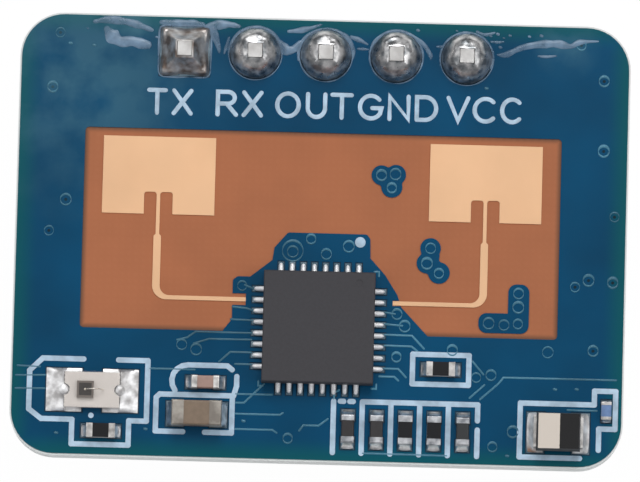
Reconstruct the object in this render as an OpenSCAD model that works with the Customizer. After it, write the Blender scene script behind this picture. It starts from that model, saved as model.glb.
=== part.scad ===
// Microwave radar sensor module: a small laminate board that carries a radar chip, two
// patch antennas, a light sensor, chip resistors and capacitors, and a five-pin header.
// The parts stand on the front face. The header is soldered through from the back.
// Origin: middle of the header's seating face. +X runs along the pins, +Y towards the
// header's edge of the board, +Z out of the front face. All sizes are in millimetres.

/* [Board] */
// Width of the board, along the row of pins
board_w = 22; // [21.8:0.1:28]
// Depth of the board, across the row of pins
board_d = 16; // [15.9:0.1:20]
// Thickness of the bare laminate
board_t = 1.2; // [0.8:0.1:1.6]
// Radius of the board's four corners
corner_r = 1.6; // [0.5:0.1:2]
// Thickness of the solder mask and of the copper on each face
film_t = 0.035; // [0.02:0.005:0.07]
// Bare laminate left along the board's edge
mask_edge = 0.06; // [0:0.01:0.2]
// Bare laminate left around each pad
mask_gap = 0.04; // [0.02:0.01:0.06]

/* [Header] */
// Distance between neighbouring pins
pin_pitch = 2.54; // [2.3:0.01:3.1]
// Width of a square pin
pin_w = 0.64; // [0.5:0.01:0.8]
// Free length of a pin below the housing
pin_reach = 6; // [3:0.1:12]
// Height of the pin's end above the front face
pin_tail = 0.9; // [0.7:0.05:1.6]
// Height of the housing
housing_h = 2.5; // [1.5:0.1:4]
// Depth of the housing, across the row
housing_d = 2.5; // [1.8:0.1:2.5]
// Distance from the row of pins to the board's edge
row_inset = 1.3; // [1.25:0.05:2]
// Room between a pin's corners and its hole
hole_clear = 0.06; // [0.04:0.01:0.1]
// Width of the copper ring around a hole
ring_w = 0.4; // [0.3:0.05:0.5]

/* [Antennas] */
// Width of a patch
patch_w = 4.04; // [3.2:0.01:5]
// Height of a patch
patch_h = 2.8; // [2.2:0.01:3.1]
// Distance between the board's centre line and a patch's
patch_x = 5.88; // [5.6:0.01:6.1]
// Width of the notch that the feed runs into
inset_w = 1.03; // [0.7:0.01:1.4]
// Depth of that notch
inset_h = 0.8; // [0.4:0.01:1.2]
// Width of the thin stretch of the feed
feed_thin_w = 0.13; // [0.1:0.01:0.2]
// Width of the wide stretch of the feed
feed_wide_w = 0.27; // [0.22:0.01:0.4]
// Width of the stretch that reaches the chip
feed_end_w = 0.15; // [0.1:0.01:0.2]
// Width of the bare window around both antennas
window_w = 17.15; // [16.8:0.05:18.5]

/* [Radar chip] */
// Side of the square chip
chip_w = 4; // [3.4:0.1:4.8]
// Height of the chip
chip_h = 0.8; // [0.5:0.05:1]
// Distance between neighbouring leads
lead_pitch = 0.4; // [0.34:0.01:0.42]
// Width of a lead
lead_w = 0.2; // [0.14:0.01:0.24]
// Height of a lead at the chip's side
lead_h = 0.2; // [0.1:0.01:0.25]
// Reach of the solder beyond the chip's side
lead_toe = 0.4; // [0.2:0.01:0.5]

/* [Light sensor] */
// Length of the light sensor
sensor_l = 2; // [1.6:0.05:2.4]
// Width of the light sensor
sensor_w = 1.26; // [1.1:0.02:1.6]
// Height of the clear body
lens_h = 0.5; // [0.3:0.05:0.8]
// Reach of a solder land beyond the sensor's end
sensor_toe = 0.66; // [0.4:0.02:0.7]

/* [Chip parts] */
// Length of a small chip resistor or capacitor
small_l = 1.04; // [0.8:0.02:1.2]
// Width of a small chip resistor or capacitor
small_w = 0.5; // [0.4:0.01:0.6]
// Height of a small chip resistor or capacitor
small_h = 0.35; // [0.25:0.01:0.5]
// Length of the large capacitor
large_l = 1.8; // [1.6:0.02:2]
// Width of the large capacitor
large_w = 0.92; // [0.7:0.02:0.96]
// Length of the power capacitor's moulded body
power_l = 1.58; // [1.4:0.02:1.8]
// Width of the power capacitor's moulded body
power_w = 1.38; // [1:0.02:1.4]
// Reach of the solder beyond a chip part's end
part_toe = 0.2; // [0.1:0.01:0.25]

/* [Hidden] */
$fn = 48;

pin_count = 5;
leads_per_side = 8;
housing_bevel = 0.55;
pin_bevel = 0.14;
pin_point = 0.5;
paste_t = 0.04;
plating = 0.02;
ink_t = 0.015;
ink_w = 0.18;

// Heights of the faces, upwards from the header's seat
back_z = housing_h;
laminate_z = back_z + film_t;
top_z = laminate_z + board_t;
face_z = top_z + film_t;

// The board's edges and what lines up with them, from the board's centre
left = -board_w / 2;
right = board_w / 2;
low = -board_d / 2;
high = board_d / 2;
row_y = high - row_inset;
hole_d = pin_w * sqrt(2) + 2 * hole_clear;
pad_d = hole_d + 2 * ring_w;
window_top = high - 4.12;
window_low = low + 4.62;
patch_top = window_top - 0.3;
patch_low = patch_top - patch_h;

// Small chip parts stand in one row along the lower edge, and the chip clears their pads
strip_y = low + 1.2;
strip_x = 1.14;
strip_pitch = 1.03;
strip_gap = 0.46;
land_tip = chip_w / 2 + lead_toe;
chip_y = strip_y + small_l / 2 + part_toe + strip_gap + land_tip;
feed_y = chip_y + (leads_per_side - 3) / 2 * lead_pitch;
feed_end_x = land_tip + 0.24;
paddle_w = chip_w - 1.5;
lead_l = 0.4;

// Chip part sizes: length, width, height, length of a metal end, reach of the solder beyond
// the end, and how far a land is wider than the part on each side
strip_t = 0.1;
SMALL = [small_l, small_w, small_h, 0.23, part_toe, 0];
LARGE = [large_l, large_w, 0.8, 0.44, part_toe, 0];
POWER = [power_l + 2 * strip_t, power_w, 0.9, 0.4, 1.2 * part_toe, 0.05];
TINY = [0.66, 0.36, 0.23, 0.12, 0.4 * part_toe, 0];

// The light sensor's lands are wider than its body
sensor_land_w = sensor_w + 0.3;

// Places of the chip parts on the board: x, y, turn in degrees, size, and whether the metal
// ends wrap round all four sides
sensor_at = [left + 1.29 + sensor_toe + sensor_l / 2, low + 2.35];
sensor_resistor_at = [sensor_at.x + 0.35, sensor_at.y - sensor_land_w / 2 - 0.67, 0, SMALL, false];
side_resistor_at = [land_tip + 2.02, low + 3.43, 0, SMALL, false];
small_capacitor_at = [-land_tip - 1.6, low + 2.74, 0, SMALL, true];
large_capacitor_at = [-land_tip - 1.88, low + 1.59, 0, LARGE, true];
power_capacitor_at = [right - 2.32, low + 1.26, 0, POWER, true];
tiny_resistor_at = [right - 0.61, low + 2.09, 90, TINY, false];
STRIP = [for (i = [0:4]) [strip_x + i * strip_pitch, strip_y, 90, SMALL, i < 2 || i == 4]];
CHIP_PARTS = concat([sensor_resistor_at, side_resistor_at, small_capacitor_at,
    large_capacitor_at, power_capacitor_at, tiny_resistor_at], STRIP);

// Colours of the real materials
laminate_tan = "#a9694a";
mask_blue = "#16496b";
ink_white = "#b4cde2";
gold = "#e4be95";
tin = "#b9b6b2";
chip_black = "#444449";
ceramic_tan = "#8a7866";

// Outline helpers

module rounded_rect(w, d, r) {
    square([w - 2 * r, d], center = true);
    square([w, d - 2 * r], center = true);
    for (sx = [-1, 1], sy = [-1, 1])
        translate([sx * (w / 2 - r), sy * (d / 2 - r)]) circle(r = r);
}

// A block whose long edges and end edges are rounded, standing on z = 0
module rounded_block(l, w, h, r) {
    intersection() {
        rotate([90, 0, 0]) linear_extrude(w, center = true)
            translate([0, h / 2]) rounded_rect(l, h, r);
        rotate([90, 0, 90]) linear_extrude(l, center = true)
            translate([0, h / 2]) rounded_rect(w, h, r);
    }
}

// Puts its children on the board, at a height above the header's seat
module on_board(z) {
    translate([0, -row_y, z]) children();
}

module at_part(part, z = 0) {
    on_board(face_z + z) translate([part.x, part.y]) rotate(part[2]) children();
}

function pin_x(i) = (i - (pin_count - 1) / 2) * pin_pitch;

// Board and its two masks

module board_outline(inset = 0) {
    rounded_rect(board_w - 2 * inset, board_d - 2 * inset, corner_r - inset);
}

module pin_holes(d) {
    for (i = [0:pin_count - 1])
        translate([pin_x(i), row_y]) circle(d = d);
}

module board() {
    color(laminate_tan) on_board(laminate_z) linear_extrude(board_t) difference() {
        board_outline();
        pin_holes(hole_d);
    }
}

// Mask that stays around the chip, inside the window
module chip_apron() {
    tip = land_tip;
    translate([0, chip_y]) offset(r = 0.12) offset(delta = -0.12) polygon([
        [-tip - 1.6, -1.4], [-tip - 1.02, -0.12], [-tip - 0.72, 0.27], [-tip - 0.72, 1.7],
        [-tip - 0.55, 1.83], [-tip - 0.1, 1.83], [-tip + 0.68, tip + 0.05],
        [-tip + 0.74, tip + 0.5], [-tip + 1.22, tip + 1.06], [tip - 0.75, tip + 1.06],
        [tip - 0.62, tip + 0.9], [tip - 0.6, tip + 0.2], [tip - 0.05, tip - 0.4],
        [tip + 0.4, 1.3], [tip + 0.55, 0.86], [tip + 2.7, -1.4]]);
}

// Gaps in the apron that let both feeds run on bare laminate
module feed_slots() {
    translate([-feed_end_x - 1, feed_y]) square([2, 0.42], center = true);
    translate([feed_end_x + 1, feed_y]) square([2, 0.2], center = true);
}

module blob(points, r) {
    for (p = points) translate(p) circle(r = r);
}

// Three islands of mask that cover groups of earth vias
module mask_islands() {
    offset(r = -0.12) offset(delta = 0.12) {
        blob([[2.12, window_top - 1.48], [2.64, window_top - 1.45]], 0.36);
        blob([[2.5, window_top - 1.9]], 0.38);
        blob([[3.95, window_top - 4.08], [3.83, window_top - 4.62]], 0.37);
        blob([[4.27, window_top - 4.96]], 0.39);
        blob([[3.98, window_top - 4.35]], 0.3);
    }
    translate([7.16, window_low + 1.07]) offset(r = 0.3) offset(delta = -0.3) union() {
        square([0.76, 1.78], center = true);
        translate([-0.53, -0.53]) square([1.8, 0.72], center = true);
    }
}

module antenna_window() {
    difference() {
        translate([0, (window_top + window_low) / 2])
            rounded_rect(window_w, window_top - window_low, 0.15);
        difference() {
            chip_apron();
            feed_slots();
        }
        mask_islands();
    }
}

module header_pads(grow) {
    pin_holes(pad_d + 2 * grow);
    translate([pin_x(0), row_y]) square(pad_d - 0.04 + 2 * grow, center = true);
}

module front_solder_mask() {
    color(mask_blue) on_board(top_z) linear_extrude(film_t) difference() {
        board_outline(mask_edge);
        antenna_window();
        header_pads(mask_gap);
        front_lands(mask_gap);
    }
}

module back_solder_mask() {
    color(mask_blue) on_board(back_z) linear_extrude(film_t) difference() {
        board_outline(mask_edge);
        header_pads(mask_gap);
    }
}

// Copper that the mask leaves free

module end_lands(size, grow) {
    inner = size[0] / 2 - size[3];
    outer = size[0] / 2 + size[4];
    for (s = [-1, 1])
        translate([s * (inner + outer) / 2, 0])
            square([outer - inner + 2 * grow, size[1] + 2 * size[5] + 2 * grow], center = true);
}

module lead_lands(grow) {
    for (side = [0:3], i = [0:leads_per_side - 1])
        rotate(90 * side)
            translate([(chip_w / 2 - lead_l + land_tip) / 2, lead_offset(i)])
                square([lead_toe + lead_l + 2 * grow, lead_w + 2 * min(grow, 0.04)], center = true);
}

function lead_offset(i) = (i - (leads_per_side - 1) / 2) * lead_pitch;

module sensor_lands(grow) {
    for (s = [-1, 1])
        translate([s * (sensor_l / 2 + sensor_toe - 0.65), 0])
            square([1.3 + 2 * grow, sensor_land_w + 2 * grow], center = true);
}

module front_lands(grow) {
    for (part = CHIP_PARTS)
        translate([part.x, part.y]) rotate(part[2]) end_lands(part[3], grow);
    translate([0, chip_y]) {
        lead_lands(grow);
        square(paddle_w + 2 * grow, center = true);
    }
    translate(sensor_at) sensor_lands(grow);
}

module copper_pads() {
    color(tin) {
        on_board(top_z) linear_extrude(film_t) front_lands(0);
        for (z = [back_z, top_z])
            on_board(z) linear_extrude(film_t) difference() {
                header_pads(0);
                pin_holes(hole_d);
            }
    }
}

// Printed outlines around the parts

module ink_line(points) {
    hair = 0.01;
    for (i = [0:len(points) - 2]) {
        run = points[i + 1] - points[i];
        translate(points[i]) rotate(atan2(run.y, run.x))
            translate([0, -hair / 2]) square([norm(run) + hair, hair]);
    }
}

// Part of a ring of ink, from one angle to another
module ink_arc(centre, r, from, to) {
    steps = 6;
    ink_line([for (i = [0:steps])
        let (a = from + (to - from) * i / steps) centre + r * [cos(a), sin(a)]]);
}

module sensor_outline() {
    x = sensor_l / 2 + sensor_toe;
    y = sensor_land_w / 2 - 0.08;
    translate(sensor_at) ink_line([[-0.33, y + 0.42], [-x - 0.14, y + 0.42], [-x - 0.6, y - 0.03],
        [-x - 0.6, -y - 0.02], [-x - 0.15, -y - 0.36], [-0.7, -y - 0.36], [-0.7, -y - 1.24],
        [1.34, -y - 1.24], [1.34, -y - 0.36], [x + 0.31, -y - 0.36], [x + 0.31, y + 0.42],
        [0.92, y + 0.42]]);
}

module capacitor_outlines() {
    small = [small_capacitor_at.x, small_capacitor_at.y + 0.05];
    large = [large_capacitor_at.x - 0.08, large_capacitor_at.y + 0.06];
    shared_y = (large.y + large_w / 2 + small.y - small_w / 2) / 2 - 0.04;
    x = large_l / 2;
    y = large_w / 2;
    translate([large.x, 0]) {
        ink_line([[-0.4, large.y - y - 0.24], [-x - 0.49, large.y - y - 0.24],
            [-x - 0.49, shared_y - 0.12], [-x - 0.37, shared_y], [x + 0.44, shared_y],
            [x + 0.44, large.y - y - 0.24], [0.38, large.y - y - 0.24]]);
    }
    translate([small.x, 0]) {
        ink_arc([-small_l / 2 - 0.12, small.y], 0.57, 90, 218);
        ink_line([[-small_l / 2 - 0.12, small.y + 0.57], [small_l / 2 + 0.25, small.y + 0.57],
            [small_l / 2 + 0.42, small.y + 0.44]]);
        ink_line([[small_l / 2 + 0.6, small.y + 0.2], [small_l / 2 + 0.6, small.y - 0.15],
            [small_l / 2 + 0.5, shared_y]]);
    }
}

module resistor_outline() {
    x = small_l / 2 + 0.49;
    y = small_w / 2 + 0.285;
    translate([side_resistor_at.x, side_resistor_at.y])
        ink_line([[-x, y], [x, y], [x, -y], [-x, -y], [-x, y]]);
}

module strip_outlines() {
    top = strip_y + small_l / 2 + part_toe + 0.28;
    bottom = strip_y - small_l / 2 - part_toe - 0.13;
    for (i = [0:4])
        ink_line([[strip_x + (i - 0.51) * strip_pitch, top], [strip_x + (i - 0.51) * strip_pitch, bottom]]);
    edge = strip_x + 4.51 * strip_pitch;
    ink_line([[strip_x + 0.49 * strip_pitch, top], [edge, top], [edge, strip_y + 0.43]]);
    ink_line([[edge, strip_y + 0.1], [edge, bottom]]);
    for (s = [-0.22, 0.12])
        ink_line([[strip_x + s - 0.07, top], [strip_x + s + 0.05, top]]);
}

module power_outline() {
    x = power_l / 2;
    y = power_w / 2;
    dx = tiny_resistor_at.x - power_capacitor_at.x;
    dy = tiny_resistor_at.y - power_capacitor_at.y;
    translate([power_capacitor_at.x, power_capacitor_at.y])
        ink_line([[x + 0.01, -y - 0.2], [-x - 0.58, -y - 0.2], [-x - 0.58, y + 0.36],
            [dx - 0.43, y + 0.36], [dx - 0.43, dy + 0.72], [dx + 0.33, dy + 0.72],
            [dx + 0.33, dy - 0.64], [dx - 0.25, dy - 0.64], [dx - 0.25, dy - 1.4]]);
}

module silkscreen_outlines() {
    color(ink_white) on_board(face_z) linear_extrude(ink_t) {
        offset(r = ink_w / 2, $fn = 20) {
            sensor_outline();
            capacitor_outlines();
            resistor_outline();
            strip_outlines();
            power_outline();
        }
        translate([1.42, chip_y + land_tip + 0.77]) circle(r = 0.19);
        translate(sensor_at - [0.02, sensor_land_w / 2 + 0.12]) circle(r = 0.1);
    }
}

// Patch antennas

// A patch with its inset feed, drawn for the left antenna around its own centre line
module antenna_outline() {
    bend = 0.5;
    bend_y = feed_y - feed_end_w / 2 + bend;
    wide_top = patch_low - 0.73;
    inner = bend - feed_end_w;
    half = feed_wide_w / 2;
    difference() {
        translate([-patch_w / 2, patch_low]) square([patch_w, patch_h]);
        translate([-inset_w / 2, patch_low - 1]) square([inset_w, inset_h + 0.9]);
        for (s = [-1, 1])
            translate([s * (inset_w / 4 + feed_thin_w / 4), patch_low + inset_h / 2])
                rounded_rect(inset_w / 2 - feed_thin_w / 2, inset_h, 0.1);
    }
    translate([-feed_thin_w / 2, wide_top - 0.1])
        square([feed_thin_w, patch_low + inset_h + 0.2 - wide_top]);
    polygon([[half, bend_y - 0.01], [half, wide_top - 0.06], [half - 0.06, wide_top],
        [0.06 - half, wide_top], [-half, wide_top - 0.06], [-half, bend_y - 0.01]]);
    difference() {
        intersection() {
            translate([bend - half, bend_y]) circle(r = bend);
            translate([-half, bend_y - bend]) square([bend + 0.2, bend]);
        }
        translate([half + inner, bend_y]) circle(r = inner);
    }
    translate([bend - half, feed_y - feed_end_w / 2])
        square([patch_x - feed_end_x - bend + half, feed_end_w]);
}

module tx_patch_antenna() {
    color(gold) on_board(top_z) linear_extrude(film_t)
        translate([-patch_x, 0]) antenna_outline();
}

module rx_patch_antenna() {
    color(gold) on_board(top_z) linear_extrude(film_t)
        translate([patch_x, 0]) mirror([1, 0]) antenna_outline();
}

// Five-pin header and its solder joints

module pin_shaft(i, w = pin_w) {
    translate([pin_x(i), 0]) linear_extrude(2 * face_z, center = true)
        square(w, center = true);
}

module header_housing() {
    half_w = pin_pitch / 2;
    half_d = housing_d / 2;
    cell = [[-half_w, half_d - housing_bevel], [-half_w + housing_bevel, half_d],
        [half_w - housing_bevel, half_d], [half_w, half_d - housing_bevel],
        [half_w, housing_bevel - half_d], [half_w - housing_bevel, -half_d],
        [housing_bevel - half_w, -half_d], [-half_w, housing_bevel - half_d]];
    color("#1d1d1f") difference() {
        linear_extrude(housing_h)
            for (i = [0:pin_count - 1])
                translate([pin_x(i), 0]) polygon(cell);
        for (i = [0:pin_count - 1]) pin_shaft(i);
    }
}

// A square pin with a long point below and a short bevel above
module header_pin(i) {
    foot = -pin_reach;
    head = face_z + pin_tail;
    w = pin_w / 2;
    side = [[-w, foot + pin_point], [-w / 2, foot], [w / 2, foot], [w, foot + pin_point],
        [w, head - pin_bevel], [w - pin_bevel / 2, head], [pin_bevel / 2 - w, head],
        [-w, head - pin_bevel]];
    color("#cfc7b4") translate([pin_x(i), 0]) intersection() {
        rotate([90, 0, 0]) linear_extrude(pin_w, center = true) polygon(side);
        rotate([90, 0, 90]) linear_extrude(pin_w, center = true) polygon(side);
    }
}

module pin_tx() { header_pin(0); }
module pin_rx() { header_pin(1); }
module pin_out() { header_pin(2); }
module pin_gnd() { header_pin(3); }
module pin_vcc() { header_pin(4); }

// Half of a solder cone's section: steep at its rim, hollow in the middle, then up the pin
function solder_height(t) = pin_tail * (0.24 * (1 - pow(t, 6)) + 0.62 * pow(1 - t, 1.7));
function solder_section(rim, core, steps) = concat([for (i = [0:steps])
    let (t = 1 - i / steps) [core + (rim - core) * t, solder_height(t)]]);

module solder_barrel() {
    translate([0, 0, back_z - face_z]) cylinder(d = hole_d, h = face_z - back_z);
}

module round_solder_cone() {
    core = pin_w / 2 + 0.03;
    rotate_extrude() polygon(concat([[0, 0]], solder_section(pad_d / 2, core, 10),
        [[0, solder_height(0)]]));
}

// Over a square pad the solder draws up in four hollow sides with sharp corners
module square_solder_cone() {
    rim = pad_d / 2 - 0.02;
    right_half = solder_section(rim, pin_w / 2 + 0.03, 10);
    left_half = [for (i = [len(right_half) - 1:-1:0]) [-right_half[i].x, right_half[i].y]];
    intersection() {
        rotate([90, 0, 0]) linear_extrude(2 * rim, center = true)
            polygon(concat(right_half, left_half));
        rotate([90, 0, 90]) linear_extrude(2 * rim, center = true)
            polygon(concat(right_half, left_half));
    }
}

module solder_joint(i) {
    color(tin) difference() {
        translate([pin_x(i), 0, face_z]) {
            solder_barrel();
            if (i == 0) square_solder_cone();
            else round_solder_cone();
        }
        translate([0, 0, face_z]) pin_shaft(i);
    }
}

module solder_joint_tx() { solder_joint(0); }
module solder_joint_rx() { solder_joint(1); }
module solder_joint_out() { solder_joint(2); }
module solder_joint_gnd() { solder_joint(3); }
module solder_joint_vcc() { solder_joint(4); }

// Radar chip: a flat package with eight leads flush in each side

module at_chip(z = 0) {
    on_board(face_z + z) translate([0, chip_y]) children();
}

module chip_leads_shape() {
    for (side = [0:3], i = [0:leads_per_side - 1])
        rotate(90 * side)
            translate([chip_w / 2 - lead_l, lead_offset(i) - lead_w / 2, 0])
                cube([lead_l, lead_w, lead_h]);
    translate([0, 0, lead_h / 2]) cube([paddle_w, paddle_w, lead_h], center = true);
}

module radar_chip() {
    bevel = 0.03;
    w = chip_w / 2;
    side = [[-w, 0], [w, 0], [w, chip_h - bevel], [w - bevel, chip_h], [bevel - w, chip_h],
        [-w, chip_h - bevel]];
    color(chip_black) at_chip(paste_t) difference() {
        intersection() {
            rotate([90, 0, 0]) linear_extrude(chip_w, center = true) polygon(side);
            rotate([90, 0, 90]) linear_extrude(chip_w, center = true) polygon(side);
        }
        chip_leads_shape();
        translate([chip_w / 2 - 0.58, chip_w / 2 - 0.4, chip_h - 0.02]) cylinder(r = 0.13, h = 1);
    }
}

module radar_chip_leads() {
    color(tin) at_chip(paste_t) chip_leads_shape();
}

// Section of a solder fillet: flat under the part, then a hollow slope outside it
function fillet_section(under, toe, h) = concat([[-under, 0], [toe, 0]],
    [for (i = [0:5]) let (a = 90 - 15 * i)
        [toe * (1 - cos(a)), paste_t * 0.4 + (h - paste_t * 0.4) * (1 - sin(a))]],
    [[0, h], [0, paste_t], [-under, paste_t]]);

module fillet(under, toe, w, h) {
    rotate([90, 0, 0]) linear_extrude(w, center = true)
        polygon(fillet_section(under, toe, h));
}

module radar_chip_solder() {
    color(tin) at_chip() {
        for (side = [0:3], i = [0:leads_per_side - 1])
            rotate(90 * side) translate([chip_w / 2, lead_offset(i)])
                fillet(lead_l, lead_toe, lead_w, paste_t + lead_h);
        translate([0, 0, paste_t / 2]) cube([paddle_w, paddle_w, paste_t], center = true);
    }
}

// Light sensor: a clear block on a small white board with a half hole in each end

bite_r = 0.19;
sensor_base_h = 0.25;
die_w = 0.6;
die_h = 0.15;
die_x = -0.24;

module sensor_outline_shape(grow) {
    difference() {
        square([sensor_l - 2 * grow, sensor_w], center = true);
        for (s = [-1, 1]) translate([s * sensor_l / 2, 0]) circle(r = bite_r + grow);
    }
}

module light_sensor_base() {
    color("#e6e1dc") at_sensor(paste_t) linear_extrude(sensor_base_h)
        sensor_outline_shape(plating);
}

module light_sensor_terminals() {
    color(tin) at_sensor(paste_t) linear_extrude(sensor_base_h) difference() {
        sensor_outline_shape(0);
        sensor_outline_shape(plating);
    }
}

module at_sensor(z = 0) {
    on_board(face_z + z) translate(sensor_at) children();
}

module sensor_die_shape() {
    translate([die_x, 0, die_h / 2]) cube([die_w, die_w, die_h], center = true);
}

// The wire springs from the die's middle and lands on the base beside it
module sensor_wire_shape() {
    wire_r = 0.02;
    span = 0.62;
    difference() {
        translate([die_x + span / 2, 0, die_h / 2]) rotate([0, atan(die_h / span), 0])
            rotate([90, 0, 0]) rotate_extrude(angle = 180, $fn = 24)
                translate([norm([span, die_h]) / 2, 0]) circle(r = wire_r, $fn = 16);
        sensor_die_shape();
        translate([0, 0, -0.5]) cube([4, 4, 1], center = true);
    }
}

module light_sensor_die() {
    color("#3a3634") at_sensor(paste_t + sensor_base_h) sensor_die_shape();
}

module light_sensor_wire() {
    color(gold) at_sensor(paste_t + sensor_base_h) sensor_wire_shape();
}

module light_sensor_lens() {
    color("#e9e4df", 0.5) at_sensor(paste_t + sensor_base_h) difference() {
        linear_extrude(lens_h) sensor_outline_shape(0);
        sensor_die_shape();
        sensor_wire_shape();
    }
}

// Solder that climbs each end of the sensor and fills its half hole
module light_sensor_solder() {
    lap = 0.6;
    color(tin) at_sensor() for (s = [0, 180]) rotate(s) translate([sensor_l / 2, 0]) {
        fillet(lap, sensor_toe - 0.04, sensor_w + 0.14, paste_t + sensor_base_h);
        translate([0, 0, paste_t]) intersection() {
            cylinder(r = bite_r, h = sensor_base_h);
            translate([-bite_r, -bite_r, 0]) cube([bite_r, 2 * bite_r, sensor_base_h]);
        }
    }
}

// Chip resistors and capacitors

module part_body(part) {
    size = part[3];
    edge = min(0.06, size[2] / 5);
    if (part[4])
        translate([0, 0, plating])
            rounded_block(size[0] - 2 * plating, size[1] - 2 * plating, size[2] - 2 * plating, edge);
    else
        translate([0, 0, size[2] / 2])
            cube([size[0] - 2 * plating, size[1], size[2] - 2 * plating], center = true);
}

module part_ends(part) {
    size = part[3];
    edge = min(0.06, size[2] / 5);
    middle = size[0] - 2 * size[3];
    difference() {
        if (part[4])
            rounded_block(size[0], size[1], size[2], edge);
        else
            rotate([90, 0, 0]) linear_extrude(size[1], center = true)
                translate([0, size[2] / 2]) rounded_rect(size[0], size[2], plating);
        part_body(part);
        cube([middle, 2 * size[1], 4 * size[2]], center = true);
    }
}

module chip_part(part, tone) {
    color(tone) at_part(part, paste_t) part_body(part);
}

module chip_part_ends(part) {
    color(tin) at_part(part, paste_t) part_ends(part);
}

module sensor_resistor() { chip_part(sensor_resistor_at, "#241f22"); }
module sensor_resistor_ends() { chip_part_ends(sensor_resistor_at); }
module side_resistor() { chip_part(side_resistor_at, "#241f22"); }
module side_resistor_ends() { chip_part_ends(side_resistor_at); }
module small_capacitor() { chip_part(small_capacitor_at, "#ab8b7c"); }
module small_capacitor_ends() { chip_part_ends(small_capacitor_at); }
module large_capacitor() { chip_part(large_capacitor_at, ceramic_tan); }
module large_capacitor_ends() { chip_part_ends(large_capacitor_at); }
module row_capacitor_1() { chip_part(STRIP[0], "#4b403f"); }
module row_capacitor_1_ends() { chip_part_ends(STRIP[0]); }
module row_capacitor_2() { chip_part(STRIP[1], "#4b403f"); }
module row_capacitor_2_ends() { chip_part_ends(STRIP[1]); }
module row_resistor_1() { chip_part(STRIP[2], "#241f22"); }
module row_resistor_1_ends() { chip_part_ends(STRIP[2]); }
module row_resistor_2() { chip_part(STRIP[3], "#241f22"); }
module row_resistor_2_ends() { chip_part_ends(STRIP[3]); }
module row_capacitor_3() { chip_part(STRIP[4], "#4b403f"); }
module row_capacitor_3_ends() { chip_part_ends(STRIP[4]); }
module tiny_resistor() { chip_part(tiny_resistor_at, "#8fa3d0"); }
module tiny_resistor_ends() { chip_part_ends(tiny_resistor_at); }

// The power capacitor is moulded, so its sides lean in from a parting line at mid height

module power_shape() {
    draft = 0.06;
    h = POWER[2];
    x = power_l / 2;
    y = power_w / 2;
    function side(a) = [[draft - a, 0], [a - draft, 0], [a, h / 2], [a - draft, h],
        [draft - a, h], [-a, h / 2]];
    intersection() {
        rotate([90, 0, 0]) linear_extrude(power_w, center = true) polygon(side(x));
        rotate([90, 0, 90]) linear_extrude(power_l, center = true) polygon(side(y));
    }
}

// Flat strips that leave the body at mid height and fold down and under it
module power_ends_shape() {
    w = power_w - 0.3;
    h = POWER[2];
    difference() {
        translate([-power_l / 2 - strip_t, -w / 2, 0]) cube([power_l + 2 * strip_t, w, h / 2]);
        power_shape();
        cube([power_l - 2 * POWER[3], 2 * w, 2 * h], center = true);
    }
}

module power_capacitor() {
    color("#29282a") at_part(power_capacitor_at, paste_t) power_shape();
}

module power_capacitor_ends() {
    color(tin) at_part(power_capacitor_at, paste_t) power_ends_shape();
}

module chip_part_solder() {
    color(tin) for (part = CHIP_PARTS) {
        size = part[3];
        at_part(part) for (s = [0, 180]) rotate(s) translate([size[0] / 2, 0])
            fillet(size[3], size[4], size[1], paste_t + 0.6 * size[2]);
    }
}

board();
front_solder_mask();
back_solder_mask();
copper_pads();
silkscreen_outlines();
tx_patch_antenna();
rx_patch_antenna();
header_housing();
pin_tx();
pin_rx();
pin_out();
pin_gnd();
pin_vcc();
solder_joint_tx();
solder_joint_rx();
solder_joint_out();
solder_joint_gnd();
solder_joint_vcc();
radar_chip();
radar_chip_leads();
radar_chip_solder();
light_sensor_base();
light_sensor_terminals();
light_sensor_lens();
light_sensor_die();
light_sensor_wire();
light_sensor_solder();
sensor_resistor();
sensor_resistor_ends();
side_resistor();
side_resistor_ends();
small_capacitor();
small_capacitor_ends();
large_capacitor();
large_capacitor_ends();
row_capacitor_1();
row_capacitor_1_ends();
row_capacitor_2();
row_capacitor_2_ends();
row_resistor_1();
row_resistor_1_ends();
row_resistor_2();
row_resistor_2_ends();
row_capacitor_3();
row_capacitor_3_ends();
power_capacitor();
power_capacitor_ends();
tiny_resistor();
tiny_resistor_ends();
chip_part_solder();
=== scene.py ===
"""Looks of a microwave radar sensor module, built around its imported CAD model.

Each operator finishes one kind of piece. Meshes are drawn in millimetres on the board, with
the origin at the middle of its front face: x along the pins, y towards the header, z out of
the face. The properties, the finishes and the stage are in metres.
"""

import math

import bmesh
import bpy
from mathutils import Matrix, Vector, noise


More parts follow.
